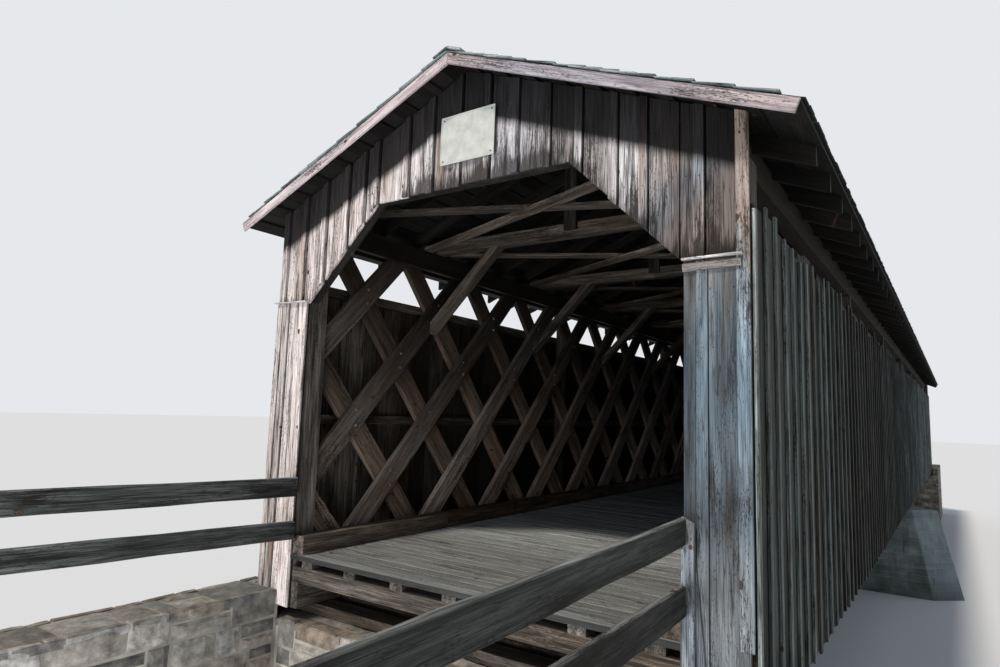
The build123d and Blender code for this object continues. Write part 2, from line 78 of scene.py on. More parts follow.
print("length", round(LENGTH, 3), "deck", round(DECK, 3), "wall face", round(WALL_FACE, 3))

# %% [markdown]
# The camera stands beside the axis of the bridge, to its right, at eye height over the deck. It
# is turned left, tipped up and leans slightly. The lens is wide.

# %% Camera
CAMERA_PLACE = Vector((3.552, -20.532, 4.209))
CAMERA_TURN, CAMERA_TIP, CAMERA_LEAN = 0.608, 0.1212, 0.033
forward = Vector((-math.sin(CAMERA_TURN) * math.cos(CAMERA_TIP),
                  math.cos(CAMERA_TURN) * math.cos(CAMERA_TIP), math.sin(CAMERA_TIP)))
level_right = Vector((math.cos(CAMERA_TURN), math.sin(CAMERA_TURN), 0))
level_up = level_right.cross(forward)
right = level_right * math.cos(CAMERA_LEAN) + level_up * math.sin(CAMERA_LEAN)
up = level_up * math.cos(CAMERA_LEAN) - level_right * math.sin(CAMERA_LEAN)
lens = bpy.data.cameras.new("camera")
lens.lens, lens.sensor_width, lens.clip_end = 23.67, 36, 500
camera = bpy.data.objects.new("camera", lens)
camera.matrix_world = Matrix.Translation(CAMERA_PLACE) @ Matrix((right, up, -forward)).transposed().to_4x4()
scene.collection.objects.link(camera)
scene.camera = camera
scene.view_settings.view_transform = "Standard"
print("camera looks along", [round(value, 3) for value in forward])

# %% [markdown]
# One function adds a node with its settings and links, for shader trees and geometry trees
# alike. Colours are written as sRGB hex values, and another function makes them linear. Every
# material ends alike: coats of colour, one over the other, on a rough surface with a bump.

# %% Helpers for nodes and colours
def linear(code):
    """Linear RGBA from an sRGB hex value."""
    channels = [int(code[i:i + 2], 16) / 255 for i in (1, 3, 5)]
    return tuple(c / 12.92 if c <= 0.04045 else ((c + 0.055) / 1.055) ** 2.4 for c in channels) + (1,)


def add(tree, kind, *values, out=0, stops=None, **settings):
    """Add a node and return its output, or all of them where out is None. kind leaves out the
    word ShaderNode and may end in an operation. Values go to the sockets in order, or by name in
    a dictionary: a number, a hex colour or a socket to link. stops are a colour ramp's colours."""
    kind, _, operation = kind.partition(" ")
    full_name = kind.startswith(("GeometryNode", "FunctionNode", "NodeGroup"))
    node = tree.nodes.new(kind if full_name else "ShaderNode" + kind)
    if operation:
        node.operation = operation
    for name, value in settings.items():
        setattr(node, name, value)
    for place, value in enumerate(values):
        for key, part in value.items() if isinstance(value, dict) else ((place, value),):
            if isinstance(part, bpy.types.NodeSocket):
                tree.links.new(part, node.inputs[key])
            else:
                node.inputs[key].default_value = linear(part) if str(part).startswith("#") else part
    if stops:
        ramp = node.color_ramp.elements
        while len(ramp) < len(stops):
            ramp.new(1)
        for element, (place, code) in zip(ramp, stops.items()):
            element.position = place
            element.color = linear(code)
    return node.outputs if out is None or not node.outputs else node.outputs[out]


def new_material(name):
    """An empty material and its tree."""
    material = bpy.data.materials.new(name)
    material.use_nodes = True
    material.node_tree.nodes.clear()
    return material, material.node_tree


def close_material(tree, colour, coats, roughness, height, depth, strength=1.0, **sockets):
    """End a material. A coat is (amount, colour), and one with no amount multiplies what is under
    it. The surface is a rough dielectric, and depth is the depth of its bump in metres."""
    for amount, coat in coats:
        over = {0: 1.0 if amount is None else amount, 6: colour, 7: coat}
        way = "MULTIPLY" if amount is None else "MIX"
        colour = add(tree, "Mix", over, out=2, data_type="RGBA", blend_type=way)
    bump = add(tree, "Bump", {"Height": height, "Distance": depth, "Strength": strength})
    add(tree, "OutputMaterial", add(tree, "BsdfPrincipled", {
        "Base Color": colour, "Roughness": roughness, "Normal": bump, **sockets}))


def mottled(name, scale, detail, stops, roughness, depth, grit=0.5):
    """A plain finish with one mottle, scale patches to the metre."""
    material, tree = new_material(name)
    spot = add(tree, "TexCoord", out="Object")
    cloud = add(tree, "TexNoise", {"Vector": spot, "Scale": scale, "Detail": detail, "Roughness": grit})
    close_material(tree, add(tree, "ValToRGB", cloud, stops=stops), (), roughness, cloud, depth)
    return material

# %% [markdown]
# Sawn softwood left to the weather goes grey, keeps a brown tint where rain doesn't reach, and
# opens along the grain. Its marks all run with the grain: streaks a few millimetres wide, growth
# rings 20 to 30 mm apart, charcoal stains as long as an arm, fine cracks, specks of mould and
# knots as wide as a thumb. Each piece carries its own length and width as an attribute called
# grain, so one recipe fits upright boards, sloping planks and rails. A second attribute, board,
# is a different number on each board, which moves the pattern along and changes the shade. A
# third, wet, is 1 at an end that drips and stays black.

# %% Wood recipe
def sawn_wood(name, shades, tones, turn=None, snap=None, fold=False, tints=(), stain="#211d1c",
              stain_cover=0.5, knots=0.1, crack=0.65, contrast=1.0, warm=None, depth=0.0025):
    """Weathered wood. turn, snap and fold lay the grain on a CAD node, which has no attributes."""
    material, tree = new_material(name)
    place = add(tree, "TexCoord", out="Object")
    folded = add(tree, "VectorMath ABSOLUTE", place)
    if turn is None:
        own = add(tree, "Attribute", out="Vector", attribute_name="grain")
        board = add(tree, "Attribute", out="Fac", attribute_name="board")
    else:
        own = add(tree, "Mapping", {"Vector": folded if fold else place, "Rotation": turn})
        board = add(tree, "TexWhiteNoise", add(tree, "VectorMath SNAP", place, snap), out="Value")
    wet = add(tree, "Attribute", out="Fac", attribute_name="wet")
    shift = add(tree, "VectorMath SCALE", (53, 29, 17), {"Scale": board})
    spot = add(tree, "VectorMath", own, shift)

    # Knots: ovals 40 mm long round random points, on a grid of 0.2 by 0.14 m
    cell = add(tree, "VectorMath MULTIPLY", spot, (5, 7, 7))
    centres = add(tree, "TexVoronoi", {"Vector": cell, "Scale": 1}, out=None, voronoi_dimensions="2D")
    chance = add(tree, "SeparateColor", centres["Color"], out=None)
    chosen = add(tree, "Math LESS_THAN", chance[0], knots)
    size = add(tree, "MapRange", chance[1], 0, 1, 0.05, 0.15)
    inside = add(tree, "Math DIVIDE", centres["Distance"], size)
    knot = add(tree, "Math MULTIPLY", add(tree, "MapRange", inside, 1.15, 0.85), chosen)
    knot_colour = add(tree, "ValToRGB", inside,
                      stops={0: "#1f1814", 0.4: "#4b3b30", 0.8: "#3a2f28", 1: "#1a1614"})
    # The grain bends round a knot as far as twice its size
    bend = add(tree, "Math MULTIPLY", add(tree, "MapRange", inside, 2.6, 0.8, 0, 0.014), chosen)
    spot = add(tree, "VectorMath", spot, add(tree, "CombineXYZ", 0, bend))

    # Growth rings: bands some 25 mm apart, bent into long arches
    arch = add(tree, "VectorMath MULTIPLY", spot, (0.13, 1, 1))
    rings = add(tree, "TexWave", {"Vector": arch, "Scale": 11, "Distortion": 6, "Detail": 3, "Detail Scale": 1.6},
                out="Fac", bands_direction="DIAGONAL")
    # Noises stretched along the grain: cells to the metre along and across, detail and roughness
    noises = {
        "fibres": ((2.5, 125, 125), 5, 0.7),  # streaks 8 mm across and 0.4 m long
        "stains": ((1, 14, 14), 6, 0.66),  # 70 mm across and 1 m long
        "strain": ((1.1, 30, 30), 2, 0.5),  # its thin level lines are the cracks
        "patch": ((0.9, 4.5, 4.5), 5, 0.7),  # where mould and charcoal stains gather
        "dots": ((36, 150, 150), 2, 0.5)}  # dashes of mould 6 mm wide and 30 mm long
    if warm:
        noises["brown"] = ((1.3, 6, 6), 3, 0.5)  # a hand wide and an arm long
    for label, (stretch, detail, rough) in noises.items():
        way = add(tree, "VectorMath MULTIPLY", spot, stretch)
        noises[label] = add(tree, "TexNoise", {"Vector": way, "Scale": 1, "Detail": detail, "Roughness": rough})
    fibres, stains, patch = (noises[label] for label in ("fibres", "stains", "patch"))
    # Cracks are drawn 3 mm wide so that they show
    strain = add(tree, "Math ABSOLUTE", add(tree, "Math SUBTRACT", noises["strain"], 0.53))
    cracks = add(tree, "MapRange", strain, 0.004, 0.022, crack, 0)
    specks = add(tree, "MapRange", add(tree, "Math", noises["dots"], patch), 1.10, 1.20, 0, 0.75)

    blend = add(tree, "Math MULTIPLY_ADD", fibres, 0.5, add(tree, "Math MULTIPLY", stains, 0.5))
    reach = 0.1 / contrast
    colour = add(tree, "ValToRGB", blend, stops=dict(zip((0.5 - reach, 0.5, 0.5 + reach), shades)))
    coats = []
    if warm:
        # The brown of the wood still shows in patches
        brown = add(tree, "Math MULTIPLY_ADD", fibres, 0.25, noises["brown"])
        coats.append((add(tree, "MapRange", brown, 0.68, 0.82, 0, 0.7), warm))
    # Charcoal stains: streaks of fibre that a patch of stain has soaked, and the wet end
    soak = add(tree, "Math MULTIPLY_ADD", fibres, -0.45, add(tree, "Math MULTIPLY_ADD", wet, 0.3, patch))
    edge = 0.42 - 0.2 * stain_cover
    coats += [(add(tree, "MapRange", soak, edge, edge + 0.13, 0, 0.85), stain),
              (None, add(tree, "ValToRGB", board, stops=tones)),
              (None, add(tree, "MapRange", rings, 0, 1, 0.84, 1))]
    # A tint follows a direction in the model, in the model folded about its middle, or on the
    # board. The stains make its edge uneven.
    for where, way, low, high, stops in tints:
        start = {"model": place, "folded": folded, "board": own}[where]
        value = add(tree, "VectorMath DOT_PRODUCT", start, way, out="Value")
        value = add(tree, "Math MULTIPLY_ADD", stains, 0.35, add(tree, "MapRange", value, low, high))
        value = add(tree, "Math SUBTRACT", value, 0.175)
        coats.append((None, add(tree, "ValToRGB", value, stops=stops)))
    coats += [(knot, knot_colour), (specks, "#191512"), (cracks, "#191512")]

    height = add(tree, "Math MULTIPLY_ADD", rings, 0.5, fibres)
    height = add(tree, "Math MULTIPLY_ADD", cracks, -0.9, height)
    rough = add(tree, "MapRange", fibres, 0, 1, 0.72, 0.95)
    close_material(tree, colour, coats, rough, height, depth, 0.8, **{"Specular IOR Level": 0.3})
    return material


UPRIGHT, ACROSS, LENGTHWISE = (0, math.pi / 2, 0), (0, 0, 0), (0, 0, -math.pi / 2)
print("wood recipe ready")

# %% [markdown]
# The finishes differ by place. The front boards are silver grey with charcoal streaks, and
# painted light makes them paler and pinker on the left, as in sun, and darker and bluer on
# the right, as in the shade of trees. The side walls are a dark green grey, with painted tree
# shade along them. The lattice is tan at its foot and painted darker towards the top for the
# shade there, the roof timbers are nearly black from age and painted shade, and the deck
# planks are worn pale, with painted light evening them out. Shades are the dark, middle and
# pale colour of the grain, and tones run over the boards, from the one numbered 0 to the one
# numbered 1.

# %% Wood finishes
EVEN = {0: "#d3cecb", 0.5: "#ffffff", 1: "#e4dcd4"}
front_wood = sawn_wood(
    "sawn_pine_silvered", ("#757170", "#dbd9d7", "#ffffff"),
    {0: "#8f8884", 0.3: "#bfbab6", 0.6: "#e6e2df", 1: "#ffffff"},
    # Painted light across the front: paler and pinker on the left, as in sun, and darker and bluer from the middle
    # rightwards, as in the shade of trees
    tints=[("model", EAST, -2.5, 2.5,
            {0: "#f1eae8", 0.24: "#efe4e1", 0.38: "#e5e0e0", 0.55: "#c9c8cd", 0.75: "#cac8cc", 1: "#d2cdca"}),
           # Painted tree shade, darker and bluer low on the right
           ("model", EAST - UP, -1.45 - DECK, -0.75 - DECK, {0: "#ffffff", 0.45: "#b4bfcb", 1: "#b3aba9"}),
           # The shade of the rake, a hand below the roof
           ("folded", UP + EAST * ROOF_SLOPE, DECK + PEAK - 0.49, DECK + PEAK - 0.40,
            {0: "#ffffff", 1: "#3c3b3c"})],
    stain_cover=0.6, knots=0.06, crack=0.75, contrast=1.4, warm="#a98d7c", depth=0.003)
jamb_painted_shade_wood = sawn_wood(
    "sawn_pine_grey_painted_blue_shade", ("#7d8083", "#b3b5b7", "#dcdddd"), {0: "#9f9c99", 0.5: "#ffffff", 1: "#c9c9c9"},
    # Painted shade of trees and sky: blue grey over most of the height; the warm tan near the top is partly the wood's
    # own and partly painted sun
    tints=[("model", UP, DECK + 0.2, DECK + 3.4,
            {0: "#c2c7cb", 0.12: "#b5bec5", 0.2: "#87949e", 0.27: "#87949e", 0.34: "#97a8b4", 0.5: "#8ea4b3",
             0.68: "#c1ced6", 0.85: "#ebd7cb", 1: "#b8a08e"})],
    stain_cover=0.42, warm="#94806f", depth=0.002)
# Painted tree shade along the side walls: darker from a few metres in from the near portal, bluer towards the middle,
# and pale again towards the far end
side_painted_tree_shade = ("model", NORTH, NEAR, FAR, {0.03: "#ffffff", 0.07: "#e0e1e0", 0.14: "#817f7b", 0.26: "#73706b",
                                         0.45: "#8c929b", 0.7: "#d9e1e6", 1: "#ffffff"})
side_wood = sawn_wood(
    "sawn_pine_brown_grey", ("#2a2522", "#5e564e", "#8f867c"), {0: "#8f8a83", 0.5: "#ffffff", 1: "#bdaea0"},
    # Painted skylight: the outer faces of the boards are tinted blue, the inner faces not
    tints=[("folded", EAST, WALL_INSIDE + 0.004, WALL_INSIDE + 0.02, {0.3: "#ffffff", 0.7: "#c3d9e2"}),
           side_painted_tree_shade],
    stain_cover=0.6, knots=0.04, depth=0.003)
batten_wood = sawn_wood(
    "sawn_pine_batten_teal_grey", ("#373c3c", "#808888", "#bfcaca"),
    {0: "#8b8a87", 0.35: "#ffffff", 0.6: "#a99d92", 0.8: "#e8edec", 1: "#7f7b76"},
    tints=[side_painted_tree_shade], knots=0.04, depth=0.003)
trim_wood = sawn_wood(
    "planed_pine_silver", ("#8c8587", "#c4bdc0", "#ece7e8"), EVEN,
    # Painted tree shade: the rake boards are darker and bluer over the right half
    tints=[("model", EAST, -2.8, 2.8, {0.5: "#ece2e1", 0.62: "#c4c6cd", 0.8: "#c2c3c9", 0.95: "#e3dbda"})],
    stain="#4c4549", stain_cover=0.3, knots=0.06, crack=0.5, depth=0.0015)
ledge_wood = sawn_wood(
    "planed_pine_bleached", ("#8c8784", "#c7c3bf", "#ece9e6"), {0: "#8b8480", 0.6: "#ffffff"},
    stain="#5d5654", stain_cover=0.2, knots=0.04, crack=0.5, depth=0.0015)
truss_wood = sawn_wood(
    "sawn_spruce_grey_brown", ("#645e59", "#b0a7a0", "#e2dbd4"), {0: "#a19b96", 0.5: "#ffffff", 1: "#d9d0c7"},
    # Painted shade: darker towards the top of the truss
    tints=[("model", UP, DECK, DECK + 3.3, {0: "#fff4ea", 0.3: "#dcd6d1", 0.6: "#918d89", 1: "#4e4b49"})],
    stain="#1d1a17", stain_cover=0.45, knots=0.12, warm="#8d7462", depth=0.002)
web_wood = sawn_wood(
    "sawn_spruce_tan", ("#736963", "#cabdb2", "#f2e8de"), {0: "#9d948b", 0.5: "#ffffff", 1: "#e2d6cb"},
    # Painted shade: darker towards the top of the truss
    tints=[("model", UP, DECK, DECK + 3.3, {0: "#fff0e2", 0.35: "#cfc4ba", 0.6: "#8f8882", 1: "#4f4b48"})],
    stain="#231e1a", stain_cover=0.35, knots=0.16, warm="#a98468", depth=0.002)
rail_wood = sawn_wood(
    "rough_oak_grey", ("#434645", "#757979", "#a7abab"), EVEN,
    tints=[("board", NORTH, -0.03, 0, {0.6: "#8b8c88", 1: "#ffffff"})],
    stain="#23231f", stain_cover=0.62, knots=0.04, depth=0.004)
post_wood = sawn_wood("sawn_post_blue_grey", ("#45494c", "#757c81", "#a3abb1"), EVEN, stain="#232325",
                      stain_cover=0.4, knots=0.04, depth=0.002)
deck_wood = sawn_wood(
    "worn_oak_pale", ("#929899", "#b2babd", "#ccd4d7"), EVEN,
    # Painted light: darker towards each portal, where the sun falls, and lighter inside, where the shade is
    tints=[("folded", NORTH, -NEAR - 3.4, -NEAR - 1.4, {0: "#ffffff", 1: "#bcbab8"}),
           # Painted shade on the end faces of the end planks
           ("folded", NORTH, -NEAR - 0.012, -NEAR - 0.006, {0.2: "#ffffff", 0.8: "#565350"})],
    stain="#6b6662", stain_cover=0.25, knots=0.03, crack=0.4, depth=0.0015)
shingle_wood = sawn_wood(
    "split_cedar_teal_grey", ("#5f6665", "#99a1a0", "#d4dad9"),
    {0: "#818887", 0.4: "#e1e6e4", 0.7: "#b7bebb", 1: "#ffffff"},
    # Painted shade: the shingles darken towards the eave, where their butts are seen from below
    tints=[("folded", EAST, EAVE - 0.06, EAVE + 0.002, {0: "#ffffff", 1: "#4b4d4b"})],
    stain="#3c4341", stain_cover=0.45, knots=0, depth=0.003)

# %% [markdown]
# The frame timbers stay as the CAD solids. Each gets dark old wood whose grain is turned to lie
# along it, and a grid as wide as its spacing gives each stick its own shade.

# %% Old timber on the CAD frame
def old_timber(name, turn, snap, shades, **more):
    """Dark timber: turn lays the grain, snap is the spacing of its pieces."""
    return sawn_wood(name, shades, {0: "#9a928b", 0.5: "#ffffff", 1: "#c9b8a8"}, turn=turn, snap=snap,
                     stain="#15110e", stain_cover=0.4, depth=0.002, **more)


BRACE_TURN = math.atan2(2.0, 4.06)
BROWN, DULL = ("#292420", "#5a5149", "#8a7e71"), ("#211e1b", "#4b453e", "#766e65")
SHADED = {"tints": [("model", UP, DECK + 1.0, DECK + 3.0, {0: "#ffffff", 1: "#7f7b77"})]}
FOLD = {"fold": True}
for finish, turn, snap, shades, more, nodes in (
        ("sawn_chord_timber", LENGTHWISE, (0.2, 6, 1), ("#1e1b18", "#4a453f", "#78716a"), SHADED,
         "right_upper_chord left_upper_chord ridge_board stringers right_lower_chord left_lower_chord"),
        ("sawn_girt_timber", LENGTHWISE, (0.2, 5, 1), BROWN, {}, "siding_girts"),
        # Nearly black: the darkness beyond that of weathered wood is painted shade
        ("sawn_roof_board_painted_shade", LENGTHWISE, (0.299, 4, 10), ("#090808", "#151412", "#23211e"), {},
         "right_roof_boards left_roof_boards"),
        ("sawn_cross_timber", ACROSS, (20, 0.636, 1), DULL, {}, "tie_beams floor_beams bearing_timbers"),
        ("sawn_post_timber", UPRIGHT, (0.1, 0.4, 10), ("#2b2826", "#544e48", "#7c756e"), {},
         "near_end_posts far_end_posts wall_posts"),
        # Nearly black: the darkness beyond that of weathered wood is painted shade
        ("sawn_rafter_timber_painted_shade", (0, -ROOF_ANGLE, 0), (6, 0.3, 10), ("#0c0b0b", "#1c1a18", "#2e2b28"), FOLD,
         "right_rafters left_rafters"),
        ("sawn_knee_timber", (0, -math.pi / 4, 0), (4, 1, 10), ("#1f1c1a", "#453f39", "#6e665d"), FOLD,
         "knee_braces"),
        ("sawn_lower_brace", (0, 0, BRACE_TURN), (10, 2.5, 10), BROWN, {}, "lower_lateral_braces"),
        ("sawn_upper_brace", (0, 0, -BRACE_TURN), (10, 2.5, 10), DULL, {}, "upper_lateral_braces"),
        # Painted shade: the portal frame is nearly black
        ("sawn_portal_timber_painted_shade", (0, -math.pi / 4, 0), (10, 10, 10), ("#11100f", "#24211f", "#3b3733"), FOLD,
         "near_portal_frame far_portal_frame"),
        ("worn_curb_timber", LENGTHWISE, (1, 4.6, 10), ("#2b2622", "#5d5249", "#877a6c"), {}, "curbs")):
    wood = old_timber(finish, turn, snap, shades, **more)
    for node in nodes.split():
        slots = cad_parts[node].data.materials
        slots.clear()
        slots.append(wood)
# Painted shade: the nailers in the joints of the jambs and the ridge posts are nearly black
nailer_painted_shade_wood = old_timber("sawn_nailer_painted_shade", UPRIGHT, (0.3, 10, 10), ("#131211", "#26231f", "#3d3933"))
pin_wood = old_timber("riven_oak_pin", ACROSS, (0.5, 0.1, 0.05), ("#4a433c", "#7c7268", "#a89d90"))
rusty_iron = mottled("rusted_iron_nails", 120, 3, {0.4: "#120f0e", 0.65: "#33251e"}, 0.7, 0.0005)
print("finishes:", len(bpy.data.materials))

# %% [markdown]
# Boards that each have their own outline are sawn one by one in mesh code. The outline lies in
# a plane with the grain along its first direction. It is pushed out to the thickness, its edges
# are eased, and a matrix lays it in its place. A mirrored place turns the faces round, so the
# normals are worked out afresh when the whole piece is made.

# %% Sawing boards from outlines
draw = random.Random(7)


def new_stock():
    """Lists that collect the boards of one piece."""
    return {label: [] for label in ("verts", "faces", "grain", "board", "wet")}


def oblong(u0, v0, u1, v1):
    """Outline of a plain board between two corners."""
    return [(u0, v0), (u1, v0), (u1, v1), (u0, v1)]


def saw(stock, outline, thickness, place, ease=0.003, bow=0.003, step=0.45, drip=0.0, painted_sunlight=0.0, tone=None):
    """Add one board: an outline of (along, across) points, a thickness and a matrix. Up to drip
    metres from its lower end it is wet, painted_sunlight keeps stain off it as a painted sunlit
    paleness, and tone sets how pale it is."""
    cut = bmesh.new()
    face = cut.faces.new([cut.verts.new((u, v, 0)) for u, v in outline])
    grown = bmesh.ops.extrude_face_region(cut, geom=[face])["geom"]
    grown = [part for part in grown if isinstance(part, bmesh.types.BMVert)]
    bmesh.ops.translate(cut, vec=(0, 0, thickness), verts=grown)
    bmesh.ops.bevel(cut, geom=cut.edges[:], offset=ease, segments=1, affect="EDGES")
    low, high = min(outline)[0], max(outline)[0]
    lengths = int((high - low) / step) + 1
    for i in range(1, lengths):
        bmesh.ops.bisect_plane(cut, geom=cut.verts[:] + cut.edges[:] + cut.faces[:],
                               plane_co=(low + (high - low) * i / lengths, 0, 0), plane_no=(1, 0, 0))
    board, lift, sweep = draw.random(), draw.uniform(-bow, bow), draw.uniform(-bow, bow)
    if tone is not None:
        board = tone + (board - 0.5) * 0.04
    first = len(stock["verts"])
    cut.verts.index_update()
    for vert in cut.verts:
        u, v, w = vert.co
        arc = math.sin(math.pi * (u - low) / (high - low))
        stock["verts"].append(place @ Vector((u, v + sweep * arc * 0.4, w + lift * arc)))
        stock["grain"].append((u, v, w))
        stock["board"].append(board)
        stock["wet"].append((max(0.0, 1 - (u - low) / drip) if drip else 0.0) - painted_sunlight)
    stock["faces"] += [[first + vert.index for vert in face.verts] for face in cut.faces]
    cut.free()


def tube(stock, loops):
    """Add a closed block that joins loops of points, one above the other."""
    first, size = len(stock["verts"]), len(loops[0])
    last = first + size * (len(loops) - 1)
    stock["verts"] += [Vector(spot) for loop in loops for spot in loop]
    stock["board"] += [0.5] * (size * len(loops))
    stock["faces"] += [list(range(first, first + size)), list(range(last, last + size))]
    stock["faces"] += [[start + i, start + (i + 1) % size, start + size + (i + 1) % size, start + size + i]
                       for start in range(first, last, size) for i in range(size)]


def circle(radius, height, sides):
    """Points round a circle at a height."""
    turns = [2 * math.pi * i / sides for i in range(sides)]
    return [Vector((radius * math.cos(turn), radius * math.sin(turn), height)) for turn in turns]


def make_mesh(name, stock):
    """A mesh from the stock, with every face pointing outwards."""
    mesh = bpy.data.meshes.new(name)
    mesh.from_pydata(stock["verts"], [], stock["faces"])
    whole = bmesh.new()
    whole.from_mesh(mesh)
    bmesh.ops.recalc_face_normals(whole, faces=whole.faces)
    whole.to_mesh(mesh)
    whole.free()
    return mesh


def settle(name, mesh, material, slot, *nodes):
    """Make a piece of a mesh, hang it on the root body, and hide the CAD nodes that it stands for."""
    piece = bpy.data.objects.new(name, mesh)
    scene.collection.objects.link(piece)
    mesh.materials.clear()
    mesh.materials.append(material)
    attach(piece, "root")
    if nodes:
        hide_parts(*nodes)
    print(name, "triangles:", sum(len(face.vertices) - 2 for face in mesh.polygons))


def finish_piece(name, stock, material, slot, *nodes):
    """Turn the stock into a piece, with the attributes that the wood recipe reads."""
    mesh = make_mesh(name, stock)
    flat = [value for spot in stock["grain"] or stock["verts"] for value in spot]
    mesh.attributes.new("grain", "FLOAT_VECTOR", "POINT").data.foreach_set("vector", flat)
    for label in ("board", "wet"):
        values = mesh.attributes.new(label, "FLOAT", "POINT").data
        values.foreach_set("value", stock[label] or [0.0] * len(values))
    settle(name, mesh, material, slot, *nodes)


def place(origin, along, across, end=1, side=1):
    """Matrix that lays (along, across, out) in the model. end -1 mirrors it to the far portal
    and side -1 to the left. The middle of the bridge is at the origin."""
    along, across = Vector(along), Vector(across)
    rows = Matrix((along, across, along.cross(across))).transposed().to_4x4()
    return Matrix.Diagonal((side, end, 1, 1)) @ Matrix.Translation(Vector(origin)) @ rows

# %% [markdown]
# The gable is boarded upright, with a narrow batten nailed over each joint. The joints of the
# near gable are not evenly spaced, so their places are listed as they are seen. Each board
# follows the slope of the roof at its top and the cut corners of the opening at its foot. The
# sawyer's cuts don't quite agree, so the feet step a little from board to board.

# %% Gable boards and battens
# Right edge of each board, how pale it is, and how pale the batten over its joint is. The
# paleness follows sunlit boards and boards in tree shade, so it is partly painted light
GABLE = ((-2.399, 0.70, 0.6), (-2.114, 0.62, 0.7), (-1.806, 0.55, 0.8), (-1.485, 0.58, 0.9), (-1.256, 0.75, 0.8),
         (-1.073, 0.80, 0.8), (-0.675, 0.65, 0.9), (-0.364, 0.75, 0.95), (-0.041, 0.50, 0.4), (0.278, 0.28, 0.6),
         (0.585, 0.85, 0.9), (0.898, 0.70, 0.6), (1.192, 0.22, 0.8), (1.498, 0.30, 0.6), (1.740, 0.9, 0.7),
         (1.977, 0.42, None), (2.160, 0.30, 0.8), (WALL_FACE - 0.085, 0.30, None))
BOARD, BATTEN = 0.025, 0.024
FRONT = NEAR + BOARD
NAIL, BOLT, SCREW = (0.005, 0.002), (0.013, 0.008), (0.008, 0.004)


def gable_top(x):
    """Height of the underside of the roof boards at x, with a little room."""
    return PEAK - ROOF_BOARD_DROP - ROOF_SLOPE * abs(x) - 0.004


def gable_foot(x):
    """Height of the edge of the opening at x, and of the ledge beyond it."""
    slope = (CROWN - SPRING) / (OPENING - CROWN_HALF)
    return CROWN if abs(x) < CROWN_HALF else max(SPRING, CROWN - slope * (abs(x) - CROWN_HALF))


def upright(stock, x0, x1, foot, top, y, thickness, end, ragged=0.0, drip=0.0, tone=None):
    """One upright board between x0 and x1, with its front face thickness ahead of y. The boards
    on the left are kept clear of stain, which paints them pale as in sun."""
    painted_sunlight = min(0.8, max(0.0, (-0.6 - x0) * 1.6))
    breaks = [x for x in (-OPENING, -CROWN_HALF, 0, CROWN_HALF, OPENING) if x0 + 0.01 < x < x1 - 0.01]
    across = [x0] + breaks + [x1]
    drop = draw.uniform(-ragged, ragged * 0.4)
    outline = [(foot(x) + drop, x) for x in across] + [(top(x), x) for x in reversed(across)]
    saw(stock, outline, -thickness, place((0, y, DECK), UP, EAST, end), step=0.2, drip=drip, painted_sunlight=painted_sunlight, tone=tone)


def stud(stock, spot, axis, size):
    """A round head on a face: a nail, a screw or a bolt, by its radius and height."""
    radius, height = size
    turned = Vector(axis).to_track_quat("Z", "Y").to_matrix()
    rings = ((radius, -0.003), (radius, height * 0.6), (radius * 0.6, height))
    tube(stock, [[Vector(spot) + turned @ corner for corner in circle(wide, out, 8)] for wide, out in rings])


def drive(x, stray, y, heights, end, gable=True):
    """Nails up a board, each a little off its line, and on the gable only where there is wood."""
    for height in heights:
        off = x + draw.uniform(*stray)
        if not gable or gable_foot(off) + 0.03 < height < gable_top(off) - 0.03:
            stud(nails, (off, end * y, DECK + height), (0, -end, 0), NAIL)


nails = new_stock()
for end, name in ENDS:
    stock = new_stock()
    left = -WALL_FACE
    for right_edge, tone, batten_tone in GABLE:
        gap = 0.024 if left < -0.6 else 0.015 if left < 0.3 else 0.008
        upright(stock, left + gap, right_edge - 0.003, gable_foot, gable_top, FRONT + BOARD, BOARD, end, 0.016,
                0.25, tone)
        if batten_tone is not None:
            width = draw.uniform(0.062, 0.086)
            upright(stock, right_edge - width, right_edge - 0.002, gable_foot, gable_top, FRONT, BATTEN, end, 0.02,
                    0.2, batten_tone)
            drive(right_edge - width / 2, (-0.01, 0.01), NEAR + 0.001,
                  (SPRING + 0.07, CROWN - 0.32, CROWN + 0.09, CROWN + 0.52), end)
        drive(left + 0.045, (-0.01, 0.02), FRONT, (SPRING + 0.09, CROWN - 0.3, CROWN + 0.1, CROWN + 0.5), end)
        left = right_edge
    finish_piece(f"{name}_gable_boards", stock, front_wood, "weathered_siding", f"{name}_gable_wall")

# %% [markdown]
# Each jamb below the ledge has its own few boards. The near right one shows a narrow strip, a
# batten and one wide board, with the corner board beside them, which runs on up to the roof. The
# left one has three boards. Nailing boards behind them, nearly black with painted shade, show in the joints.

# %% Jamb boards and nails
# Each strip is (x0, x1, how far its front stands back, how pale it is)
STRIPS = {"right": ((OPENING, 2.096, 0.010, 0.0), (2.100, 2.181, 0.0, 0.2), (2.186, 2.442, 0.008, 0.12)),
          "left": ((-WALL_FACE, -2.422, 0.004, 0.5), (-2.396, -2.306, 0.0, 0.35), (-2.280, -OPENING, 0.004, 0.55))}
for end, name in ENDS:
    for side, wood in (("right", jamb_painted_shade_wood), ("left", front_wood)):
        stock = new_stock()
        for x0, x1, back, tone in STRIPS[side]:
            upright(stock, x0, x1, lambda x: WALL_FOOT + draw.uniform(0, 0.02), lambda x: SPRING - 0.002,
                    FRONT, BOARD - back, end, tone=tone)
            drive(x0 + 0.03, (0, 0.012), NEAR + back, (0.5, 1.15, 1.95), end, gable=False)
        if side == "right":
            upright(stock, WALL_FACE - 0.125, WALL_FACE - 0.035, lambda x: 0.03, gable_top, FRONT, BATTEN, end,
                    tone=0.43)
        finish_piece(f"{name}_{side}_jamb_boards", stock, wood, "weathered_siding", f"{name}_{side}_jamb")

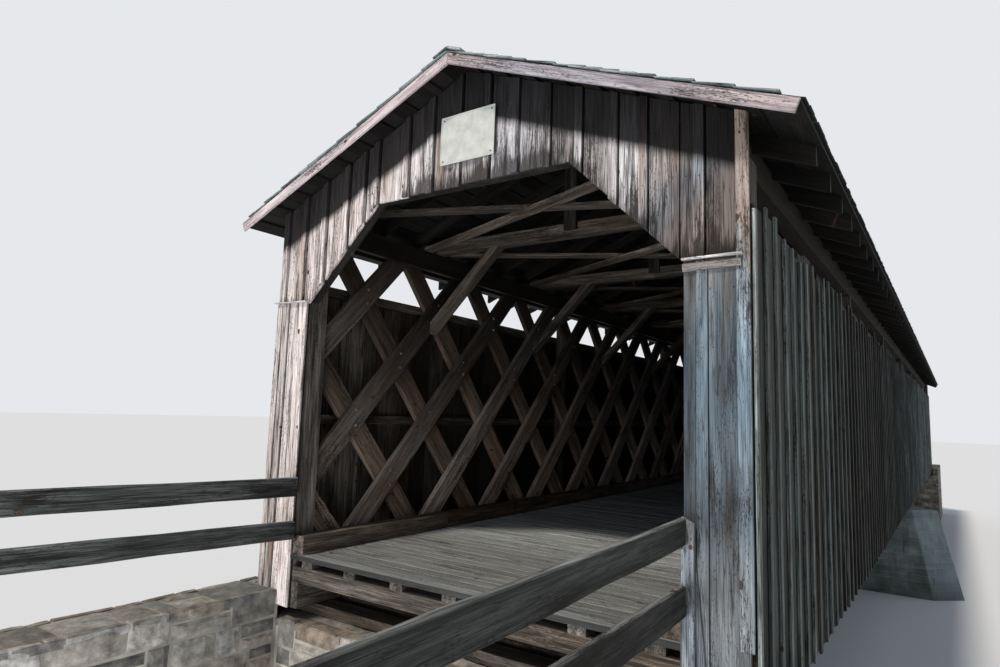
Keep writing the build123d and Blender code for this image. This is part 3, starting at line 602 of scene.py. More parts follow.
stock = new_stock()
for end, _ in ENDS:
    for x0, x1 in ((OPENING + 0.001, 2.44), (-WALL_FACE + 0.05, -OPENING - 0.001)):
        upright(stock, x0, x1, lambda x: WALL_FOOT + 0.01, lambda x: SPRING - 0.004, NEAR + 0.05,
                0.05 - BOARD - 0.0015, end)
finish_piece("jamb_nailers", stock, nailer_painted_shade_wood, "weathered_siding")
finish_piece("portal_nails", nails, rusty_iron, "weathered_siding")

# %% [markdown]
# A drip ledge covers the joint between the gable and the jamb: a thin cap, tipped a little to
# shed water, over a narrow board. The rake boards close the edges of the roof. They meet in a
# plumb cut at the peak and end square at the eave.

# %% Ledges and rake boards
stock = new_stock()
for end, _ in ENDS:
    for x0, x1, tip in ((OPENING - 0.004, 2.424, 0.012), (-WALL_FACE - 0.018, -OPENING + 0.018, -0.02)):
        wide = x1 - x0
        cap = place((x0, NEAR, DECK + SPRING + 0.002), (1, 0, tip), (0, -1, 0), end)
        saw(stock, [(0, 0), (wide, 0), (wide, 0.039), (0, 0.036)], -0.015, cap, ease=0.002, tone=0.5)
        if x0 > 0:
            # Painted shade: the board under the cap gets a dark tone
            face = place((x0, NEAR, DECK + SPRING - 0.079), (1, 0, tip), UP, end)
            saw(stock, [(0.004, 0.002), (wide - 0.01, 0.004), (wide - 0.012, 0.056), (0, 0.058)], 0.02, face,
                ease=0.002, tone=0.1)
finish_piece("drip_ledges", stock, ledge_wood, "trim_boards", "portal_ledges")

stock = new_stock()
RAKE_DEEP, RAKE_THICK, RAKE_AHEAD = 0.095, 0.025, 0.28
plumb = RAKE_DEEP * math.tan(ROOF_ANGLE)
for end, _ in ENDS:
    for side, _ in SIDES:
        outline = [(0.001, 0), (RAFTER_LONG, 0), (RAFTER_LONG, -RAKE_DEEP), (plumb + 0.001, -RAKE_DEEP)]
        board = place((0, NEAR - RAKE_AHEAD + RAKE_THICK, DECK + PEAK), DOWN_ROOF, OFF_ROOF, end, side)
        saw(stock, outline, RAKE_THICK, board, bow=0.0)
finish_piece("rake_trim", stock, trim_wood, "trim_boards", "rake_boards")

# %% [markdown]
# Two rough planks on each side fence the approach. They spread outwards and climb a little as
# they leave the bridge. On the right they are spiked to a thin post with a slanted top, and a
# wedge of board closes the gap behind it. On the left they run on past the jamb and are bolted
# to the end post of the truss.

# %% Approach rails
RAIL_FLARE, RAIL_REACH, RAIL_THICK = math.radians(2.6), 3.55, 0.045


def rails(stock, end, side, levels, lap, inside):
    """Rails on one side of an approach. Each level is (foot, height, climb for each metre). They
    start lap metres within the portal face and their inside face is at inside."""
    for foot, tall, climb in levels:
        run = RAIL_REACH - 0.005 + lap
        along = Vector((math.sin(RAIL_FLARE), -math.cos(RAIL_FLARE), climb))
        begin = Vector((inside, NEAR - 0.05 + lap, DECK + foot + tall - climb * lap))
        wave = [(run * i / 8, draw.uniform(-0.005, 0.005)) for i in range(9)]
        outline = [(u, v - tall) for u, v in wave] + [(u, draw.uniform(-0.004, 0.004)) for u, v in reversed(wave)]
        saw(stock, outline, -RAIL_THICK, place(begin, along, UP, end, side), ease=0.006, bow=0.006, step=0.5)
        for away in (0.05, run - 0.06):
            for drop in (0.05, tall - 0.05):
                spot = begin + along * away - UP * drop
                stud(bolts, (side * spot.x, end * spot.y, spot.z), (-side, 0, 0), BOLT)
    top = levels[-1][0] + levels[-1][1] + levels[-1][2] * RAIL_REACH
    x = inside + RAIL_THICK + RAIL_REACH * math.sin(RAIL_FLARE)
    post = place((x - 0.004, NEAR - RAIL_REACH - 0.04, DECK - 0.35), UP, NORTH, end, side)
    saw(stock, [(0, 0), (0.35 + top - 0.03, 0), (0.35 + top - 0.05, 0.12), (0, 0.12)], 0.12, post, ease=0.01)


stock, jamb_posts, bolts = new_stock(), new_stock(), new_stock()
for end, _ in ENDS:
    rails(stock, end, 1, ((0.181, 0.2, 0.017), (0.633, 0.176, 0.003)), 0.0, 2.0)
    rails(stock, end, -1, ((0.141, 0.178, 0.027), (0.566, 0.188, 0.016)), 0.06, OPENING - RAIL_THICK - 0.001)
    tall = 0.82 - WALL_FOOT
    thin = place((2.002, NEAR - 0.002, DECK + WALL_FOOT), UP, EAST, end)
    slanted = [(0, 0), (tall, 0.008), (tall - 0.006, 0.03), (tall - 0.045, 0.098), (0, 0.098)]
    saw(jamb_posts, slanted, -0.045, thin, ease=0.006)
    wedge = place((2.0, NEAR - 0.001, DECK + WALL_FOOT), UP, EAST, end)
    saw(jamb_posts, [(0, 0.08), (tall - 0.06, 0.06), (tall - 0.06, 0.082), (0, 0.2)], -0.02, wedge)
finish_piece("approach_rail_planks", stock, rail_wood, "rail_timber", "near_approach_rails", "far_approach_rails")
finish_piece("rail_jamb_posts", jamb_posts, post_wood, "rail_timber")
finish_piece("rail_bolts", bolts, rusty_iron, "rail_timber")

# %% [markdown]
# Most of the bridge is the same piece again and again: wall boards, lattice planks, pins,
# shingles and deck planks. Geometry Nodes repeat one blank that is made in mesh code. The blank
# is a plank of length 1 with eased edges, and a tree sets a point for each copy, stretches the
# blank to its length, and stores the two attributes that the wood recipe reads.

# %% Blanks, and how a tree is run
def blank(name, thick, wide, rings=2, ease=0.003, butt=0.0):
    """A plank of unit length along Z, centred in X and Y. butt thins it towards the top."""
    x, y = thick / 2, wide / 2
    corners = [(x, y - ease), (x - ease, y), (-x + ease, y), (-x, y - ease),
               (-x, -y + ease), (-x + ease, -y), (x - ease, -y), (x, -y + ease)]
    stock = new_stock()
    heights = [i / (rings - 1) for i in range(rings)]
    tube(stock, [[(u * (1 - butt * z), v, z) for u, v in corners] for z in heights])
    return bpy.data.objects.new(name, make_mesh(name, stock))


def new_tree(name, **inputs):
    """A geometry tree, its named inputs listed by kind. Returns it and its input sockets."""
    tree = bpy.data.node_groups.new(name, "GeometryNodeTree")
    tree.interface.new_socket("Geometry", in_out="OUTPUT", socket_type="NodeSocketGeometry")
    for kind, labels in inputs.items():
        for label in labels.split():
            tree.interface.new_socket(label, in_out="INPUT", socket_type="NodeSocket" + kind)
    return tree, add(tree, "NodeGroupInput", out=None)


def grow(name, tree, values, material, slot, *nodes):
    """Run a tree once and keep its result as a plain mesh piece."""
    maker = bpy.data.objects.new(name + "_maker", bpy.data.meshes.new(name + "_maker"))
    modifier = maker.modifiers.new("grow", "NODES")
    modifier.node_group = tree
    for item in tree.interface.items_tree:
        if item.item_type == "SOCKET" and item.in_out == "INPUT":
            modifier[item.identifier] = values[item.name]
    scene.collection.objects.link(maker)
    mesh = bpy.data.meshes.new_from_object(maker.evaluated_get(bpy.context.evaluated_depsgraph_get()))
    mesh.name = name
    bpy.data.objects.remove(maker)
    settle(name, mesh, material, slot, *nodes)


# %% [markdown]
# The repeating tree sets points in rows and gives each its own random numbers, from seeds that
# follow on from the given one. They move the point along the row, along the blank and out of its
# plane, and set the length, width and shade of the copy.

# %% Tree that repeats a blank in rows
tree, given = new_tree(
    "repeat_blank", Object="Blank", Material="Material", Int="Count Rows Seed", Vector="Start Step Row_step Turn",
    Float="Stagger Shortest Longest Narrowest Widest Slide Jitter Lift Bow Cut_near Cut_far")
rows = add(tree, "GeometryNodeMeshLine", {"Count": given["Rows"], "Start Location": given["Start"],
                                          "Offset": given["Row_step"]})
order = add(tree, "GeometryNodeInputIndex")
rows = add(tree, "GeometryNodeStoreNamedAttribute", {0: rows, "Name": "course", "Value": order})
line = add(tree, "GeometryNodeMeshLine", {"Count": given["Count"], "Start Location": (0, 0, 0),
                                          "Offset": given["Step"]})
spots = add(tree, "GeometryNodeInstanceOnPoints", {"Points": rows, "Instance": line})
spots = add(tree, "GeometryNodeRealizeInstances", spots)

draws = {}
for offset, (label, low, high) in enumerate((
        ("Jitter", -1.0, 1.0), ("Slide", -1.0, 1.0), ("Lift", -1.0, 1.0), ("Board", 0.0, 1.0),
        ("Long", given["Shortest"], given["Longest"]), ("Wide", given["Narrowest"], given["Widest"]))):
    seed = add(tree, "Math", given["Seed"], offset)
    draws[label] = add(tree, "FunctionNodeRandomValue", {2: low, 3: high, "Seed": seed}, out=1)

turn = add(tree, "FunctionNodeEulerToRotation", given["Turn"])
course = add(tree, "GeometryNodeInputNamedAttribute", {"Name": "course"})
odd = add(tree, "Math FLOORED_MODULO", course, 2.0)
aside = add(tree, "Math MULTIPLY", odd, given["Stagger"])
aside = add(tree, "Math MULTIPLY_ADD", draws["Jitter"], given["Jitter"], aside)
move = add(tree, "VectorMath SCALE", given["Step"], {"Scale": aside})
for label, way in (("Slide", UP), ("Lift", EAST)):
    way = add(tree, "FunctionNodeRotateVector", way, turn)
    part = add(tree, "Math MULTIPLY", draws[label], given[label])
    move = add(tree, "VectorMath", move, add(tree, "VectorMath SCALE", way, {"Scale": part}))
spots = add(tree, "GeometryNodeSetPosition", {0: spots, "Offset": move})

# Copies whose middle is past a cut are left out, and the others are trimmed to it
here = add(tree, "GeometryNodeInputPosition")
x, y, z = add(tree, "SeparateXYZ", here, out=None)
past = add(tree, "Math", add(tree, "Math LESS_THAN", y, given["Cut_near"]),
           add(tree, "Math GREATER_THAN", y, given["Cut_far"]))
spots = add(tree, "GeometryNodeDeleteGeometry", {0: spots, "Selection": past})
spots = add(tree, "GeometryNodeStoreNamedAttribute", {0: spots, "Name": "board", "Value": draws["Board"]})
size = add(tree, "CombineXYZ", 1, draws["Wide"], draws["Long"])
shape = add(tree, "GeometryNodeObjectInfo", given["Blank"], out="Geometry")
copies = add(tree, "GeometryNodeInstanceOnPoints", {"Points": spots, "Instance": shape, "Rotation": turn,
                                                    "Scale": size})
copies = add(tree, "GeometryNodeRealizeInstances", copies)
trimmed = add(tree, "CombineXYZ", x, add(tree, "Clamp", y, given["Cut_near"], given["Cut_far"]), z)
copies = add(tree, "GeometryNodeSetPosition", {0: copies, "Position": trimmed})

# The grain attribute is the place turned back to the blank's own directions, length first
own = add(tree, "FunctionNodeRotateVector", here, add(tree, "FunctionNodeInvertRotation", turn))
x, y, z = add(tree, "SeparateXYZ", own, out=None)
copies = add(tree, "GeometryNodeStoreNamedAttribute", {
    0: copies, "Name": "grain", "Value": add(tree, "CombineXYZ", z, y, x)}, data_type="FLOAT_VECTOR")
# A slow noise, different on each copy, bows it
seen = add(tree, "GeometryNodeInputNamedAttribute", {"Name": "board"})
apart = add(tree, "VectorMath", here, add(tree, "VectorMath SCALE", (90, 70, 50), {"Scale": seen}))
warp = add(tree, "TexNoise", {"Vector": apart, "Scale": 1.3, "Detail": 1.0}, out="Color")
warp = add(tree, "VectorMath SUBTRACT", warp, (0.5, 0.5, 0.5))
warp = add(tree, "VectorMath SCALE", warp, {"Scale": given["Bow"]})
copies = add(tree, "GeometryNodeSetPosition", {0: copies, "Offset": warp})
add(tree, "NodeGroupOutput", add(tree, "GeometryNodeSetMaterial", {0: copies, "Material": given["Material"]}))
repeat_tree = tree
PLAIN = {"Rows": 1, "Row_step": (0, 0, 0), "Stagger": 0.0, "Turn": (0, 0, 0), "Shortest": 1.0, "Longest": 1.0,
         "Narrowest": 1.0, "Widest": 1.0, "Slide": 0.0, "Jitter": 0.0, "Lift": 0.0, "Bow": 0.0,
         "Cut_near": -1000.0, "Cut_far": 1000.0, "Seed": 1}


def repeat(name, material, slot, *nodes, **sizes):
    """Grow a piece from the repeating tree; sizes not given stay plain."""
    grow(name, repeat_tree, {**PLAIN, **sizes, "Material": material}, material, slot, *nodes)


print("nodes in the repeating tree:", len(repeat_tree.nodes))

# %% [markdown]
# The side walls are upright boards with a batten over each joint, and the light comes in over
# them. On the right their heads were never cut to a line, and some end higher than others. On
# the left they are cut level with the upper girt.

# %% Side wall boards and battens
WALL_BOARD = 0.305
wall_start, wall_end = NEAR + 0.05, FAR - 0.05
count = int((wall_end - wall_start) / WALL_BOARD)
pitch = (wall_end - wall_start) / count
tall = WALL_TOP - WALL_FOOT
wall_foot = DECK + WALL_FOOT + 0.01
wide_board = blank("wall_board", 0.023, pitch - 0.008, rings=8, ease=0.002)
batten = blank("wall_batten", 0.023, 0.066, rings=8)
for (side, name), seed, uneven in zip(SIDES, (21, 22), (1.0, 0.0)):
    repeat(f"{name}_wall_boards", side_wood, "dark_side_siding", f"{name}_siding", Blank=wide_board, Count=count,
           Start=(side * (WALL_INSIDE + 0.0125), wall_start + pitch / 2, wall_foot), Step=(0.0, pitch, 0.0),
           Shortest=tall - 0.02 * uneven, Longest=tall + 0.09 * uneven, Narrowest=0.97, Slide=0.012 * uneven,
           Bow=0.002, Seed=seed)
    repeat(f"{name}_wall_battens", batten_wood, "dark_side_siding", Blank=batten, Count=count + 1,
           Start=(side * (WALL_FACE - 0.0125), wall_start + 0.005, wall_foot),
           Step=(0.0, (wall_end - wall_start - 0.01) / count, 0.0), Shortest=tall - 0.04 * uneven,
           Longest=tall + 0.13 * uneven, Narrowest=0.8, Widest=1.2, Slide=0.014 * uneven, Jitter=0.012,
           Bow=0.002, Seed=seed + 10)

# %% [markdown]
# The deck is laid crosswise in narrow planks with worn edges, spiked to the stringers.

# %% Deck planks
DECK_PLANKS = 224
pitch = LENGTH / DECK_PLANKS
deck_plank = blank("deck_plank", 0.048, pitch - 0.006, rings=6, ease=0.004)
repeat("deck_planks", deck_wood, "deck_timber", "deck", Blank=deck_plank, Count=DECK_PLANKS,
       Start=(-2.004, NEAR + pitch / 2, DECK - 0.0265), Step=(0.0, pitch, 0.0), Turn=(0.0, math.pi / 2, 0.0),
       Shortest=3.995, Longest=4.012, Narrowest=0.96, Slide=0.004, Lift=0.0015, Bow=0.003, Seed=31)

# %% [markdown]
# The roof is covered with split shingles in courses 0.145 m apart. A shingle is a thin wedge: it
# tips up at its butt and its head runs in under the two courses above. Widths and butts differ
# from one to the next. The two slopes mirror each other, and lapped boards cap the ridge.

# %% Shingles
EXPOSURE, SHINGLE_LONG, SHINGLE_BUTT, SHINGLE_PITCH = 0.145, 0.30, 0.012, 0.135
SHINGLE_TIP = math.radians(2.6)
slope_long = (EAVE + 0.02) / math.cos(ROOF_ANGLE)
courses = round((slope_long - SHINGLE_LONG) / EXPOSURE) + 1
exposure = (slope_long - SHINGLE_LONG) / (courses - 1)
roof_start, roof_end = (corner[1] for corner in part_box("right_shingle_roof"))
per_course = int((roof_end - roof_start) / SHINGLE_PITCH)
shingle = blank("shingle", SHINGLE_BUTT, SHINGLE_PITCH, ease=0.001, butt=0.6)
for (side, name), seed in zip(SIDES, (41, 42)):
    climb = Vector((-side * math.cos(ROOF_ANGLE), 0, math.sin(ROOF_ANGLE)))
    normal = Vector((side * math.sin(ROOF_ANGLE), 0, math.cos(ROOF_ANGLE)))
    eave = Vector((side * (EAVE + 0.016), roof_start, DECK + PEAK - ROOF_SLOPE * (EAVE + 0.016)))
    repeat(f"{name}_shingles", shingle_wood, "shingles", f"{name}_shingle_roof", Blank=shingle,
           Count=per_course, Start=eave + normal * 0.0205, Step=(0.0, (roof_end - roof_start) / (per_course - 1), 0.0),
           Rows=courses, Row_step=climb * exposure, Stagger=0.5,
           Turn=(0.0, -side * (math.pi / 2 - ROOF_ANGLE + SHINGLE_TIP), 0.0), Shortest=SHINGLE_LONG,
           Longest=SHINGLE_LONG, Narrowest=0.86, Widest=1.16, Slide=0.006, Jitter=0.06, Lift=0.0015, Bow=0.003,
           Cut_near=roof_start + 0.004, Cut_far=roof_end - 0.004, Seed=seed)

# %% [markdown]
# A sheet of tarred felt lies between the roof boards and the shingles. It shows black between
# the boards from below, and it keeps the daylight out. Boards in nine lengths cap the ridge.

# %% Roofing felt and ridge cap
felt = mottled("tarred_roofing_felt", 60, 4, {0.4: "#0d0c0c", 0.6: "#1d1b1a"}, 0.85, 0.001)
stock = new_stock()
for side, _ in SIDES:
    sheet = place(Vector((0, 0, DECK + PEAK)) + OFF_ROOF * 0.001, NORTH, DOWN_ROOF, side=side)
    saw(stock, oblong(roof_start + 0.022, 0.004, roof_end - 0.022, RAFTER_LONG - 0.004), -0.002, sheet,
        ease=0.0005, bow=0.0, step=40)
finish_piece("roofing_felt", stock, felt, "shingles")

stock = new_stock()
CAP_LENGTHS, CAP_WIDE, CAP_THICK = 9, 0.15 / math.cos(ROOF_ANGLE), 0.018
(_, cap_start, _), (_, cap_end, cap_top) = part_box("ridge_cap")
run = cap_end - cap_start - 0.008
for side, _ in SIDES:
    for i in range(CAP_LENGTHS):
        board = place((0.0, 0, cap_top - 0.021), NORTH, DOWN_ROOF, side=side)
        outline = oblong(cap_start + 0.004 + run * i / CAP_LENGTHS, 0,
                         cap_start + 0.002 + run * (i + 1) / CAP_LENGTHS, CAP_WIDE)
        saw(stock, outline, -CAP_THICK, board, ease=0.002, bow=0.0, step=2.0)
finish_piece("ridge_cap_boards", stock, shingle_wood, "shingles", "ridge_cap")

# %% [markdown]
# Each truss is a web of planks in two layers that slope opposite ways, 1.272 m apart. The inner
# layer has settled to a flatter slope than the outer one. The tree stands a blank upright at
# each place, then slides every point sideways by its height, which gives the slope and the level
# cuts at the chords. Points that would pass the end of the truss move back along the plank, so
# the end planks are cut upright, and doubled points are merged.

# %% Lattice tree
PANEL, PANELS, PLANK_WIDE, PLANK_THICK = 1.272, 24, 0.254, 0.074
OUTER_RISE, INNER_RISE, INNER_SHIFT = 1.1793, 1.0457, 0.175
tree, given = new_tree("lattice_layer", Object="Blank", Material="Material", Int="Count Seed", Vector="First",
                       Float="Panel Height Reference Rise Near Far Foot Head")
spots = add(tree, "GeometryNodeMeshLine", {"Count": given["Count"], "Start Location": given["First"],
                                           "Offset": add(tree, "CombineXYZ", 0, given["Panel"])})
x, y, z = add(tree, "SeparateXYZ", add(tree, "GeometryNodeInputPosition"), out=None)
chance = add(tree, "FunctionNodeRandomValue", {2: 0.0, 3: 1.0, "Seed": given["Seed"]}, out=1)
for label, value in (("board", chance), ("centre", y)):
    spots = add(tree, "GeometryNodeStoreNamedAttribute", {0: spots, "Name": label, "Value": value})
size = add(tree, "CombineXYZ", 1, 1, given["Height"])
shape = add(tree, "GeometryNodeObjectInfo", given["Blank"], out="Geometry")
planks = add(tree, "GeometryNodeInstanceOnPoints", {"Points": spots, "Instance": shape, "Scale": size})
planks = add(tree, "GeometryNodeRealizeInstances", planks)
across = add(tree, "Math SUBTRACT", y, add(tree, "GeometryNodeInputNamedAttribute", {"Name": "centre"}))
planks = add(tree, "GeometryNodeStoreNamedAttribute", {0: planks, "Name": "across", "Value": across})
lean = add(tree, "Math DIVIDE", add(tree, "Math SUBTRACT", z, given["Reference"]), given["Rise"])
leaned = add(tree, "CombineXYZ", x, add(tree, "Math", y, lean), z)
planks = add(tree, "GeometryNodeSetPosition", {0: planks, "Position": leaned})
held = add(tree, "Clamp", y, given["Near"], given["Far"])
raised = add(tree, "Math MULTIPLY_ADD", add(tree, "Math SUBTRACT", held, y), given["Rise"], z)
raised = add(tree, "Clamp", raised, given["Foot"], given["Head"])
planks = add(tree, "GeometryNodeSetPosition", {0: planks, "Position": add(tree, "CombineXYZ", x, held, raised)})
planks = add(tree, "GeometryNodeMergeByDistance", {0: planks, "Distance": 0.0004})
# Along the plank and square to it, for a slope of about fifty degrees
along = add(tree, "Math MULTIPLY", z, 1.31)
across = add(tree, "Math MULTIPLY", add(tree, "GeometryNodeInputNamedAttribute", {"Name": "across"}), 0.763)
planks = add(tree, "GeometryNodeStoreNamedAttribute", {
    0: planks, "Name": "grain", "Value": add(tree, "CombineXYZ", along, across, x)}, data_type="FLOAT_VECTOR")
add(tree, "NodeGroupOutput", add(tree, "GeometryNodeSetMaterial", {0: planks, "Material": given["Material"]}))

lattice_low, lattice_high = DECK + WALL_FOOT, DECK + TRUSS_TOP
start, finish = NEAR + 0.05, FAR - 0.05
first_column = NEAR + (LENGTH - PANELS * PANEL) / 2
top_row = lattice_high - 0.64
for side, name in SIDES:
    for rise, layer, shift, wood in ((INNER_RISE, 0, INNER_SHIFT, truss_wood), (-OUTER_RISE, 1, 0.0, web_wood)):
        plank = blank(f"{name}_lattice_plank_{layer + 1}", PLANK_THICK,
                      PLANK_WIDE / math.sin(math.atan(abs(rise))), rings=16, ease=0.008)
        numbers = []
        for number in range(-5, PANELS + 6):
            middle = first_column + shift + number * PANEL
            reach = [middle + (z - top_row) / rise for z in (lattice_low, lattice_high)]
            if max(reach) > start - 0.1 and min(reach) < finish + 0.1:
                numbers.append(number)
        x = side * (TRUSS_INSIDE + 0.038 + 0.076 * layer)
        values = {"Blank": plank, "Material": wood, "Count": len(numbers), "Panel": PANEL, "Rise": rise,
                  "First": (x, first_column + shift + numbers[0] * PANEL, lattice_low), "Near": start,
                  "Far": finish, "Foot": lattice_low, "Head": lattice_high, "Reference": top_row,
                  "Height": lattice_high - lattice_low, "Seed": 51 + layer}
        stands_for = (f"{name}_lattice",) if layer == 0 else ()
        grow(f"{name}_lattice_layer_{layer + 1}", tree, values, wood, "truss_timber", *stands_for)

# %% [markdown]
# Round pins of hard wood hold the planks where they cross, two at each crossing. Their heads
# stand a few millimetres proud of the inner layer.

# %% Lattice pins
PIN_RADIUS, PIN_LONG, PIN_ROWS, PIN_APART = 0.019, 0.166, 4, 0.085
stock = new_stock()
tube(stock, [circle(PIN_RADIUS * wide, PIN_LONG * z, 10) for z, wide in ((0, 1), (0.93, 1), (1, 0.8))])
lattice_pin = bpy.data.objects.new("lattice_pin", make_mesh("lattice_pin", stock))
# An inner and an outer plank cross where their two slopes agree, each row further down the outer one
both = 1 / INNER_RISE + 1 / OUTER_RISE
first_row = top_row - INNER_SHIFT / both
row_drop = PANEL / both
for side, name in SIDES:
    for offset, label in ((-PIN_APART, "lower"), (PIN_APART, "upper")):
        begin = (side * (TRUSS_OUTSIDE + 0.006), first_column - 2 * PANEL + INNER_SHIFT / both / OUTER_RISE,
                 first_row + offset)
        repeat(f"{name}_{label}_pins", pin_wood, "truss_timber", Blank=lattice_pin, Count=PANELS + 3, Start=begin,
               Step=(0.0, PANEL, 0.0), Rows=PIN_ROWS, Row_step=(0.0, row_drop / OUTER_RISE, -row_drop),
               Turn=(0.0, -side * math.pi / 2, 0.0), Jitter=0.008, Slide=0.003, Cut_near=start + 0.12,
               Cut_far=finish - 0.12, Seed=61)
print("rows of pins start at", round(first_row - DECK, 3), "and drop", round(row_drop, 3))

# %% [markdown]
# A short post stands on the near face of each tie beam and holds the ridge. It's a plain plank,
# nearly black with painted shade, cut square.

# %% Ridge posts
TIE_WIDE, POST_WIDE, POST_THICK = 0.15, 0.16, 0.04
post_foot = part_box("tie_beams")[0][2] + 0.06
post_head = DECK + PEAK - ROOF_BOARD_DROP - 0.19
stock = new_stock()
for i in range(1, PANELS, 2):
    post = place((-POST_WIDE / 2, first_column + i * PANEL - TIE_WIDE / 2 - 0.001, post_foot), UP, EAST)
    saw(stock, oblong(0, 0, post_head - post_foot, POST_WIDE), -POST_THICK, post)
finish_piece("ridge_posts", stock, nailer_painted_shade_wood, "roof_timber")

# %% [markdown]
# The abutments and wing walls are coursed rubble: rough blocks in uneven courses with recessed
# mortar. A core of mortar fills each wall, a little smaller than the CAD solid, and every face
# is laid with stones in mesh code, course by course. Each stone's face is pillowed and pushed
# about by noise, so no two are alike.

# %% Rubble masonry
mason = random.Random(11)
STONE_DEEP, JOINT, CELLS = 0.09, 0.012, 4


def between(start, stop, part):
    """The number that lies a part of the way from start to stop."""
    return start + (stop - start) * part


def lay_stone(stock, matrix, u0, u1, v0, v1):
    """One stone: a rough pillowed face on a block that runs back into the wall."""
    tone, seed = mason.random(), Vector((mason.uniform(0, 99), mason.uniform(0, 99), 0))
    slip = [mason.uniform(0, 0.012) for _ in range(8)]
    spots = []
    for i in range(CELLS + 1):
        for j in range(CELLS + 1):
            a, b = i / CELLS, j / CELLS
            rim = min(a, 1 - a, b, 1 - b)
            swell = min(1.0, rim * 3.2)
            u = between(u0, u1, a) + (1 - a) * between(*slip[0:2], b) - a * between(*slip[2:4], b)
            v = between(v0, v1, b) + (1 - b) * between(*slip[4:6], a) - b * between(*slip[6:8], a)
            rough = noise.noise(Vector((u * 7, v * 7, 0)) + seed) * 0.008 * swell
            edge = noise.noise(Vector((u * 9, v * 9, 5)) + seed) * 0.006 * (rim == 0)
            spots.append((u + edge, v - edge, rough - 0.010 - 0.014 * (1 - swell) ** 2))
    first, wide = len(stock["verts"]), CELLS + 1
    spots += [(*spots[i][:2], -STONE_DEEP) for i in (0, CELLS, wide * wide - 1, wide * CELLS)]
    stock["verts"] += [matrix @ Vector(spot) for spot in spots]
    stock["board"] += [tone] * len(spots)
    rows = [[first + i * wide + j for j in range(wide)] for i in range(wide)]
    b00, b01, b11, b10 = range(first + wide * wide, first + wide * wide + 4)
    stock["faces"] += [(rows[i][j], rows[i + 1][j], rows[i + 1][j + 1], rows[i][j + 1])
                       for i in range(CELLS) for j in range(CELLS)]
    stock["faces"] += [[row[0] for row in reversed(rows)] + [b00, b10], [row[-1] for row in rows] + [b11, b01],
                       rows[0] + [b01, b00], rows[-1][::-1] + [b10, b11], (b00, b01, b11, b10)]


def lay_wall(stock, end, side, corner, along, upwards, wide, tall, low=0.15, high=0.3):
    """Courses of stones, low to high metres tall, over a face of wide by tall metres."""
    matrix = place(corner, along, upwards, end, side)
    v = 0.009
    while v < tall - 0.02:
        course = mason.uniform(low, high)
        if v + course > tall - low * 0.7:
            course = tall - v - 0.002 + JOINT / 2
        u = 0.009
        while u < wide - 0.02:
            run = course * mason.uniform(0.8, 2.6)
            if u + run > wide - 0.16:
                run = wide - u - 0.002 + JOINT / 2
            # Some places take two flat stones, one on the other
            split = course * mason.uniform(0.35, 0.65)
            levels = (0, split, course) if course > low * 1.25 and mason.random() < 0.4 else (0, course)
            for v0, v1 in zip(levels[:-1], levels[1:]):
                lay_stone(stock, matrix, u, u + run - JOINT, v + v0, v + v1 - JOINT)
            u += run
        v += course


def lay_core(stock, end, side, low, high):
    """A block of mortar between two corners."""
    tube(stock, [[(side * x, end * y, z) for x, y in oblong(*low[:2], *high[:2])] for z in (low[2], high[2])])

# %% [markdown]
# Rubble from the fields: schist and granite, grey with brown and rusty blocks among them. Each
# stone has its own shade, a coarse mottle as wide as a hand and a fine speckle of grains. The
# mortar is sandy, rougher and paler. The concrete of the pier kept the marks of the boards it
# was cast in, with lime run out of the joints and a dark band at its foot.

# %% Stone, mortar and concrete
LIFT = 0.17


def mineral(name, shades, tones, speckle, mottle, depth, by_board=True):
    """Rough mineral surface: speckle and mottle are the sizes of its two patterns in metres. Its
    tones go by stone, or by the lift it was cast in."""
    material, tree = new_material(name)
    spot = add(tree, "TexCoord", out="Object")
    grains, cloud = (add(tree, "TexNoise", {"Vector": spot, "Scale": scale, "Detail": detail, "Roughness": rough})
                     for scale, detail, rough in ((1 / speckle, 3, 0.7), (1 / mottle, 6, 0.62)))
    blend = add(tree, "Math MULTIPLY_ADD", cloud, 0.65, add(tree, "Math MULTIPLY", grains, 0.35))
    colour = add(tree, "ValToRGB", blend, stops=dict(zip((0.36, 0.5, 0.64), shades)))
    if by_board:
        own = add(tree, "Attribute", out="Fac", attribute_name="board")
    else:
        level = add(tree, "Math SNAP", add(tree, "SeparateXYZ", spot, out=2), LIFT)
        own = add(tree, "TexWhiteNoise", {"W": level}, out="Value", noise_dimensions="1D")
    coats = [(None, add(tree, "ValToRGB", own, stops=tones))]
    height = add(tree, "Math MULTIPLY_ADD", grains, 0.4, cloud)
    return material, tree, colour, coats, add(tree, "MapRange", grains, 0, 1, 0.78, 0.95), height, depth


stone, *surface = mineral(
    "split_schist_rubble", ("#54524d", "#8b8780", "#b3afa7"),
    {0: "#8b8b8a", 0.3: "#d8d6d1", 0.55: "#b8a797", 0.8: "#ffffff", 1: "#979da0"}, 0.006, 0.12, 0.006)
close_material(*surface)
mortar, *surface = mineral("sandy_lime_mortar", ("#5b5750", "#7a756b", "#968f83"), EVEN, 0.004, 0.3, 0.004)
close_material(*surface)
concrete, *surface = mineral(
    "board_marked_concrete", ("#424a4a", "#6a7577", "#97a8ac"), {0: "#c9c6bd", 0.5: "#ffffff", 1: "#dedbd0"},
    0.008, 0.5, 0.004, by_board=False)
tree, coats = surface[0], surface[2]
spot = add(tree, "TexCoord", out="Object")
# The boards it was cast in left long level marks 20 mm high. Lime and grime have run down the
# face in streaks 60 mm across and half a metre long.
marks, runs = (add(tree, "TexNoise", {"Vector": add(tree, "VectorMath MULTIPLY", spot, stretch), "Scale": 1,
                                      "Detail": detail, "Roughness": 0.6})
               for stretch, detail in (((0.9, 0.9, 45), 3), ((14, 14, 1.1), 4)))
